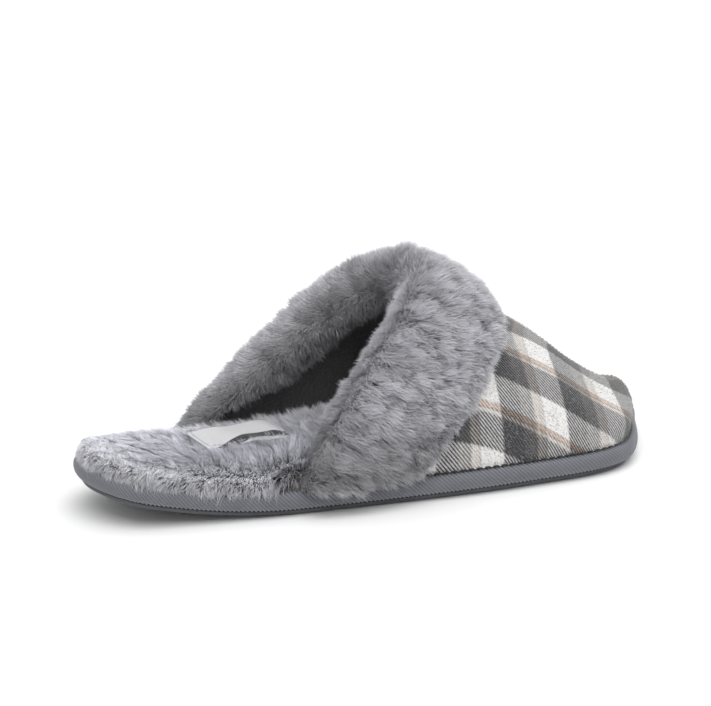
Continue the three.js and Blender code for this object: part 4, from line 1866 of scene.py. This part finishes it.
@dataclass
class Upper:
    """Checked cloth, wadding and lining of the upper."""

    plan: UpperPlan
    turns: int = 150
    places: int = 80
    pucker: float = 0.5
    pucker_reach: float = 9.0
    crease: float = 0.35
    toe_swell: float = 5.0
    toe_sink: float = 0.5
    ridge_swell: float = 2.3
    flat_reach: float = 48.0
    check_start: float = 163.6
    check_side: float = 48.0
    map_start: tuple[float, float] = (178.2, 180.0)
    fuzz: float = 0.6
    fuzz_overlap: float = 8.0
    nap: Nap = Nap(1.0e6, 0.00017, 0.0012, 0.3, 0.0008, 1.3, 0.0006, 70.0)

    def layer(self, name: str, outside: int, relief: bool) -> tuple[bpy.types.Object, np.ndarray]:
        """One closed layer of the upper.

        Args:
            name: the piece's name.
            outside: number of layers that lie outside it.
            relief: whether the seam's puckers show in it.

        Returns:
            The piece, and the place of each vertex along and round the upper.
        """
        plan = self.plan
        turn = np.linspace(0, math.pi, self.turns + 1)[:, None]
        start = plan.topline(turn)
        x = start + (plan.tip - start) * np.sin(math.pi / 2 * np.linspace(0, 1, self.places + 1))[None, :]
        turn = turn + 0 * x
        puff = self.fullness(x, turn) + (self.relief(x, turn) if relief else 0.0)
        gap = plan.sole.clearance if outside else 0.0
        outer, inner = puff - plan.depth(x, outside) - gap, puff - plan.depth(x, outside + 1)
        rings = np.concatenate([plan.offset(x, turn, outer), plan.offset(x, turn, inner)[:, ::-1]], 1)
        piece = loft(name, plan.sole.to_frame(rings))
        map_x, map_turn = (np.concatenate([part, part[:, ::-1]], 1) for part in (x, turn))
        return piece, np.stack([map_x.ravel(), map_turn.ravel()], 1)

    def build_fuzz(self, fibre: bpy.types.Object) -> None:
        """Grows the fuzz on the part of the cloth that the cuff leaves bare.

        Args:
            fibre: the one fibre that is repeated.
        """
        plan = self.plan
        turn = np.linspace(0.02, math.pi - 0.02, 121)[:, None]
        start = plan.cuff_front(turn) - self.fuzz_overlap
        x = start + (plan.tip - 1.0 - start) * np.sin(math.pi / 2 * np.linspace(0, 1, 61))[None, :]
        turn = turn + 0 * x
        out = self.fullness(x, turn) + self.relief(x, turn)
        base, normal = plan.offset(x, turn, out), plan.normal(x, turn)
        cloth = self.cloth_places(np.stack([x.ravel(), turn.ravel()], 1))
        places = np.column_stack([cloth, np.zeros(len(cloth))]).reshape(*x.shape, 3)
        values = {"grow": normal * self.fuzz * MM, "comb": np.array([0.35, 0.0, -0.5]) * MM + 0 * normal,
                  "thick": 1.0 + 0 * x, "shade": 0.5 + 0 * x, "cloth": places}
        carrier = open_carrier(plan.sole.to_frame(base), values)
        plaid = bpy.data.materials[PlaidFinish().name]
        fuzz = FuzzGrower().grow(carrier, "vamp_fuzz", fibre, plaid, self.nap.inputs())
        dress(fuzz, plaid, "plaid_flannel")

    def relief(self, x: np.ndarray, turn: np.ndarray) -> np.ndarray:
        """Puckers along the seam and soft creases over the instep, as a distance outwards.

        Args:
            x: places along the sole.
            turn: angles round the upper.

        Returns:
            The distances.
        """
        plan = self.plan
        height = plan.ridge(x) * np.sin(turn)
        round_toe = 60 * smoothstep(x, 225.0, plan.tip) * np.cos(turn)
        around = x + np.where(turn < math.pi / 2, 0, 37.0) + round_toe
        pull = np.exp(-height / self.pucker_reach) * smoothstep(height, 0.0, 2.5)
        seam = self.pucker * pull * (ripple(around, 1.7) - 0.15)
        swell = self.crease * ripple(0.16 * x + 1.4 * turn, 4.1) * smoothstep(height, 6.0, 22.0)
        return seam + swell

    def fullness(self, x: np.ndarray, turn: np.ndarray) -> np.ndarray:
        """Round fullness of the ridge and the near toe, and the flatter far toe, as a distance outwards.

        Args:
            x: places along the sole.
            turn: angles round the upper.

        Returns:
            The distances.
        """
        plan = self.plan
        height = plan.ridge(x) * np.sin(turn)
        middle = self.ridge_swell * np.exp(-(((x - 196.0) / 20.0) ** 2)) * np.sin(turn) ** 2
        toe = smoothstep(x, 205.0, plan.tip - 10) * smoothstep(height, 0.0, 8.0)
        far = smoothstep(turn, 1.2, 2.5)
        return middle + toe * (self.toe_swell - (self.toe_swell + self.toe_sink) * far)

    def cloth_places(self, at: np.ndarray) -> np.ndarray:
        """Place on the flat cloth for places along and round the upper.

        Args:
            at: place along the sole and angle round the upper, row by row.

        Returns:
            Distances along and round the cloth, over the map's scale.
        """
        plan, fine = self.plan, 181
        x, turn = at.T
        grid_x = np.linspace(50, plan.tip, 140)
        angles = np.linspace(0, math.pi, fine)
        face = plan.point(grid_x[:, None] + 0 * angles, angles + 0 * grid_x[:, None])
        steps = np.linalg.norm(np.diff(face, axis=1), axis=2)
        arc = np.concatenate([np.zeros((len(grid_x), 1)), np.cumsum(steps, 1)], 1)
        arc = arc[:, fine // 2][:, None] - arc
        row = np.interp(x, grid_x, np.arange(len(grid_x)))
        column = turn / math.pi * (fine - 1)
        round_it = bilinear(arc, row, column)
        far = np.abs(round_it)
        reach = self.flat_reach
        stretch = np.where(far < reach, reach + (far - reach) * 1.07, reach + (far - reach) * 0.93)
        across = np.sign(round_it) * stretch
        drop = plan.ridge(np.minimum(x, plan.tip - plan.toe_depth)) - plan.ridge(np.minimum(x, plan.tip))
        lean = 11.0 * np.exp(-(((across + 4) / 17.0) ** 2))
        along = x - self.check_start + 0.5 * drop * smoothstep(x, 236.0, plan.tip) - lean
        places = [along + self.map_start[0], across - self.check_side + self.map_start[1]]
        return np.stack(places, 1) / PlaidFinish().map_scale

    def build(self, fibre: bpy.types.Object) -> None:
        """Builds the three layers and the fuzz.

        Args:
            fibre: the one fibre that is repeated.
        """
        cloth, at = self.layer("vamp_cloth", 0, True)
        lay_map(cloth, self.cloth_places(at))
        dress(cloth, PlaidFinish().make(), "plaid_flannel", "vamp_outer")
        pad, _ = self.layer("vamp_pad", 1, False)
        dress(pad, FleeceFinish("wadding", (0.82, 0.82, 0.81), 3.0).make(), "wadding", "vamp_wadding")
        lining, _ = self.layer("vamp_lining_cloth", 2, False)
        fleece = FleeceFinish("lining_fleece", (0.055, 0.053, 0.053)).make()
        dress(lining, fleece, "lining_fleece", "vamp_lining")
        self.build_fuzz(fibre)


def bilinear(table: np.ndarray, row: np.ndarray, column: np.ndarray) -> np.ndarray:
    """Values between the entries of a table.

    Args:
        table: the entries.
        row: places among the rows.
        column: places among the columns.

    Returns:
        The values.
    """
    r = np.clip(row.astype(int), 0, table.shape[0] - 2)
    c = np.clip(column.astype(int), 0, table.shape[1] - 2)
    u, v = row - r, column - c
    low = table[r, c] * (1 - v) + table[r, c + 1] * v
    return low * (1 - u) + (table[r + 1, c] * (1 - v) + table[r + 1, c + 1] * v) * u


@dataclass
class Cuff:
    """Faux-fur strip folded over the topline."""

    plan: UpperPlan
    footbed: FootbedPlan
    turns: int = 120
    fill: float = 0.3
    reach: float = 3.2
    least_rise: float = 1.5
    roll_rise: float = 4.3
    nap: Nap = Nap(13.5e6, 0.0003, 0.0042, 0.6, 0.0017, 0.75, 0.002, 40.0)

    def surface(self, turn: np.ndarray, line: np.ndarray) -> np.ndarray:
        """Points of a section's line, in the pattern frame."""
        return self.plan.offset(line[..., 0], turn[:, None] + 0 * line[..., 0], line[..., 1])

    def build_body(self) -> None:
        """Builds the strip's padded body and swells it."""
        turn = np.linspace(0, math.pi, self.turns + 1)
        turned, face = self.plan.cuff_section(turn, self.footbed, self.fill)
        turned, face = flowing(turned[:, :4], 12), flowing(face, 34)
        rings = np.concatenate([self.surface(turn, line) for line in (turned, face)], 1)
        body = loft("cuff_body", self.plan.sole.to_frame(rings))
        held = np.tile(np.r_[np.zeros(12), np.sin(np.linspace(0, math.pi, 34))], len(turn))
        Puffer(voxel=4.0, cap=2.0).swell(body, held)
        # The backing's dark grey stands partly for the knit itself and partly for painted shade deep in the
        # pile.
        dress(body, BackingFinish("cuff_backing", (0.13, 0.13, 0.142)).make(), "cuff_fur", "fur_cuff")

    def build_pile(self, grower: PileGrower, unit: bpy.types.Object, fur: bpy.types.Material) -> None:
        """Grows the cuff's pile strip by strip.

        Args:
            grower: the fur's tree.
            unit: one hair.
            fur: the fur's material.
        """
        turn = np.linspace(0, math.pi, 2 * self.turns + 1)
        _, face = self.plan.cuff_section(turn, self.footbed, self.fill)
        _, tips = self.plan.cuff_section(turn, self.footbed, 1.0)
        base, tips = (self.surface(turn, flowing(line, 60)) for line in (face, tips))
        grow = tips - base
        run = np.gradient(base, axis=1)
        run /= np.maximum(np.linalg.norm(run, axis=2, keepdims=True), 1e-6)
        share = np.linspace(0, 1, base.shape[1])[None, :, None]
        towards_front = 0.15 + 0.6 * smoothstep(share, 0.3, 0.6) - 0.6 * smoothstep(share, 0.7, 0.98)
        side = np.cos(turn)[:, None, None]
        down = np.array([0, 0, -1.0]) * np.abs(side) * 0.35 + np.array([0, -1.0, 0]) * side * 0.1
        rise = np.linalg.norm(grow, axis=2)
        roll_share = np.linspace(0, 1, base.shape[1])
        on_roll = smoothstep(roll_share, 0.12, 0.28) * (1 - smoothstep(roll_share, 0.5, 0.7))
        least = self.least_rise + self.roll_rise * on_roll
        grow = grow * (np.maximum(rise, least) / np.maximum(rise, 1e-6))[..., None]
        spread = np.linalg.norm(np.gradient(tips, axis=1), axis=2) / np.maximum(
            np.linalg.norm(np.gradient(base, axis=1), axis=2), 1e-3)
        small = self.plan.inside_share(turn, self.footbed)[:, None]
        inner = 1 - smoothstep(share[..., 0], 0.2, 0.42)
        scale = 1 - inner * (1 - np.maximum(small, 0.25))
        comb = (run * towards_front + down) * (self.reach * scale)[..., None]
        # Painted shade: the shade below is darker on the inner side towards the foot, on the far side's
        # facing, and low on the cuff near the sole.
        low = 1 - smoothstep(base[..., 2] - self.plan.sole.seat, 6.0, 34.0)
        facing = (1 - smoothstep(share[..., 0], 0.3, 0.58)) * smoothstep(turn, 1.1, 1.9)[:, None]
        shade = 0.58 - 0.5 * facing - 0.3 * inner - 0.36 * low
        thick = (0.35 + 0.65 * scale) * np.clip(spread, 0.8, 3.0) / 1.15
        values = {"comb": comb * MM, "grow": grow * MM, "thick": thick, "shade": shade}
        for number, strip in enumerate(Strip):
            first, last = (round(s * (len(turn) - 1)) for s in strip.value)
            rows = slice(first, last + 1)
            cut = {key: value[rows] for key, value in values.items()}
            carrier = open_carrier(self.plan.sole.to_frame(base[rows]), cut)
            name = f"cuff_pile_{strip.name.lower()}"
            pile = grower.grow(carrier, name, unit, fur, self.nap.inputs(number))
            dress(pile, fur, "cuff_fur")


def open_carrier(points: np.ndarray, values: dict[str, np.ndarray]) -> bpy.types.Object:
    """Open grid with attributes, with its faces turned outwards.

    Args:
        points: grid of points in metres.
        values: attributes over the grid.

    Returns:
        The carrier.
    """
    rows, columns = points.shape[:2]
    carrier = make_piece("carrier", points.reshape(-1, 3), grid_faces(rows, columns, False, False))
    for name, value in values.items():
        set_values(carrier, name, value.reshape(rows * columns, -1).squeeze())
    return carrier


@dataclass
class Label:
    """Satin label on the footbed, with its stitches."""

    footbed: FootbedPlan
    x: float = 68.0
    length: float = 36.0
    width: float = 20.0
    thickness: float = 0.35
    hem: float = 1.4
    lift: float = 0.0
    wave: float = 0.35
    tilt: float = 0.07

    def level(self, x: np.ndarray) -> np.ndarray:
        """Height of the pile's crown under the label."""
        sole = self.footbed.sole
        return sole.foam_top + sole.clearance + self.footbed.depth(x) + sole.lift(x) + self.lift

    def height(self, x: np.ndarray, y: np.ndarray) -> np.ndarray:
        """Height of the label's underside, sunk a little where it is sewn.

        Args:
            x: places along the sole.
            y: places across it.

        Returns:
            The heights.
        """
        reach = np.maximum(np.abs(x - self.x) / (self.length / 2), np.abs(y) / (self.width / 2))
        sunk = -1.1 * smoothstep(reach, 0.7, 1.0)
        return self.level(x) + sunk + self.wave * np.sin(x / 3.1 + y / 5.0) + self.tilt * (y - self.width / 2)

    def build(self, stitches: StitchGrower) -> None:
        """Builds the cloth and the stitches.

        Args:
            stitches: the tree that sets the stitches.
        """
        columns, rows = 72, 40
        x, y = np.meshgrid(self.x + self.length * np.linspace(-0.5, 0.5, columns),
                           self.width * np.linspace(-0.5, 0.5, rows))
        face = np.stack([x, y, self.height(x, y)], -1)
        both = np.concatenate([face, (face + (0, 0, self.thickness))[:, ::-1]], 1)
        cloth = loft("label_cloth", self.footbed.sole.to_frame(both))
        flat = np.stack([x - self.x, -y], -1)
        lay_map(cloth, np.concatenate([flat, flat[:, ::-1]], 1).reshape(-1, 2) / LABEL_MAP_SCALE)
        dress(cloth, SatinFinish().make(), "label_satin", "sock_label")
        thread = ThreadFinish("label_thread", (0.5, 0.5, 0.52)).make()
        unit = capsule_unit("label_stitch_unit", 1.5, 0.34, 0.3)
        sewn = stitches.grow(self.seam(), "label_stitches", unit, thread, {"Pitch": 2.2 * MM, "Size": 1.0})
        dress(sewn, thread, "label_thread", "label_thread")

    def seam(self) -> bpy.types.Object:
        """Closed line of edges just inside the label's rim.

        Returns:
            The line.
        """
        half = np.array([self.length, self.width]) / 2 - self.hem
        corners = np.array([(-1, -1), (1, -1), (1, 1), (-1, 1), (-1, -1)]) * half
        line = np.concatenate([np.linspace(a, b, 24, endpoint=False) for a, b in zip(corners, corners[1:])])
        x, y = line[:, 0] + self.x, line[:, 1]
        points = np.stack([x, y, self.height(x, y) + self.thickness - 0.05], 1)
        return edge_loop(self.footbed.sole.to_frame(points), True)


def edge_loop(points: np.ndarray, closed: bool) -> bpy.types.Object:
    """Line of edges through points in metres.

    Args:
        points: the points, in order.
        closed: joins the last point to the first.

    Returns:
        The line as an object.
    """
    mesh = bpy.data.meshes.new("line")
    count = len(points)
    edges = [(i, (i + 1) % count) for i in range(count if closed else count - 1)]
    mesh.from_pydata(points.tolist(), edges, [])
    line = bpy.data.objects.new("line", mesh)
    bpy.context.scene.collection.objects.link(line)
    return line


@dataclass
class SeamStitches:
    """Stitches along the foot of the vamp."""

    upper: UpperPlan
    gap: float = 0.9
    height: float = 0.55
    pitch: float = 3.6
    length: float = 2.6
    width: float = 0.75

    def build(self, stitches: StitchGrower) -> None:
        """Builds the row of stitches from cuff to cuff round the toe.

        Args:
            stitches: the tree that sets the stitches.
        """
        sole = self.upper.sole
        shares = np.linspace(0, 1, 900, endpoint=False)
        edge = sole.edge(shares, 0.0)
        start = np.where(edge[:, 1] < 0, *self.upper.opening) + self.upper.cuff_foot + 4.0
        kept = shares[edge[:, 0] > start]
        flat = sole.edge(kept, self.upper.inset - self.gap)
        level = sole.seat + self.height - 0.4 + sole.lift(flat[:, 0])
        line = edge_loop(sole.to_frame(np.column_stack([flat, level])), False)
        thread = ThreadFinish("seam_thread", (0.016, 0.017, 0.019)).make()
        unit = capsule_unit("seam_stitch_unit", self.length, self.width, self.width)
        sewn = stitches.grow(line, "vamp_stitches", unit, thread, {"Pitch": self.pitch * MM, "Size": 1.0})
        dress(sewn, thread, "seam_thread", "vamp_seam_thread")


# ---------------------------------------------------------------- studio


@dataclass(frozen=True)
class Studio:
    """Pale floor, soft light and the camera."""

    target: tuple[float, float, float] = (0.02648, 0.06741, 0.030)
    azimuth: float = -27.45
    elevation: float = 16.0
    distance: float = 1.5
    lens: float = 180.1
    sky: float = 0.72
    floor_size: float = 8.0
    suns: tuple[tuple[str, Colour, float, float], ...] = (
        ("key", (-0.25, -0.62, 1.3), 55, 1.55), ("fill", (0.7, 0.3, 1.0), 70, 0.6))
    floor: Colour = (0.93, 0.93, 0.93)

    def build(self) -> None:
        """Builds the floor, the lights and the camera."""
        self.build_camera()
        self.build_floor()
        self.build_lights()

    def build_camera(self) -> None:
        """Places the camera on its line to the target."""
        a, e = math.radians(self.azimuth), math.radians(self.elevation)
        back = Vector((math.sin(a) * math.cos(e), -math.cos(a) * math.cos(e), math.sin(e)))
        data = bpy.data.cameras.new("camera")
        data.lens, data.sensor_width, data.clip_start, data.clip_end = self.lens, 36.0, 0.01, 50.0
        camera = bpy.data.objects.new("camera", data)
        camera.location = Vector(self.target) + back * self.distance
        camera.rotation_mode = "QUATERNION"
        camera.rotation_quaternion = (-back).to_track_quat("-Z", "Y")
        bpy.context.scene.collection.objects.link(camera)
        bpy.context.scene.camera = camera

    def build_floor(self) -> None:
        """Makes the floor."""
        size, low = self.floor_size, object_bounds()[0].z
        corners = np.array([(-size, -size, low), (size, -size, low), (size, size, low), (-size, size, low)])
        floor = make_piece("floor", corners, [(0, 1, 2, 3)])
        dye = Dye("floor", 0.9)
        dye.shader.inputs["Base Color"].default_value = (*self.floor, 1.0)
        floor.data.materials.append(dye.material)
        floor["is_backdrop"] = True

    def build_lights(self) -> None:
        """Makes the sky and two soft suns."""
        world = bpy.data.worlds.new("sky")
        world.use_nodes = True
        world.node_tree.nodes["Background"].inputs["Color"].default_value = (1, 1, 1, 1)
        world.node_tree.nodes["Background"].inputs["Strength"].default_value = self.sky
        bpy.context.scene.world = world
        bpy.context.scene.view_settings.view_transform = "Standard"
        for name, place, spread, strength in self.suns:
            light = bpy.data.lights.new(name, "SUN")
            light.angle, light.energy = math.radians(spread), strength
            lamp = bpy.data.objects.new(name, light)
            lamp.rotation_mode = "QUATERNION"
            lamp.rotation_quaternion = Vector(place).to_track_quat("Z", "Y")
            bpy.context.scene.collection.objects.link(lamp)


def main() -> None:
    """Builds the slipper from the sole up."""
    logging.basicConfig(level=logging.INFO, format="%(message)s")
    Studio().build()
    sole = SolePlan()
    footbed = FootbedPlan(sole)
    upper = UpperPlan(sole)
    SoleUnit(sole).build()
    hair, pile = hair_unit(), PileGrower()
    Upper(upper).build(hair)
    bed, cuff = Footbed(footbed), Cuff(upper, footbed)
    bed.build_foam()
    bed.build_sock()
    bed_fur = PileFinish("footbed_plush", (0.19, 0.19, 0.206), (0.575, 0.575, 0.607), (0.77, 0.77, 0.81))
    bed.build_pile(pile, hair, bed_fur.make())
    cuff.build_body()
    cuff_fur = PileFinish("cuff_fur", (0.15, 0.15, 0.162), (0.41, 0.41, 0.436), (0.62, 0.62, 0.652))
    cuff.build_pile(pile, hair, cuff_fur.make())
    stitches = StitchGrower()
    Label(footbed).build(stitches)
    SeamStitches(upper).build(stitches)
    for unit in [o for o in bpy.data.objects if o.name.endswith("_unit")]:
        bpy.data.objects.remove(unit)


if __name__ == "__main__":
    main()
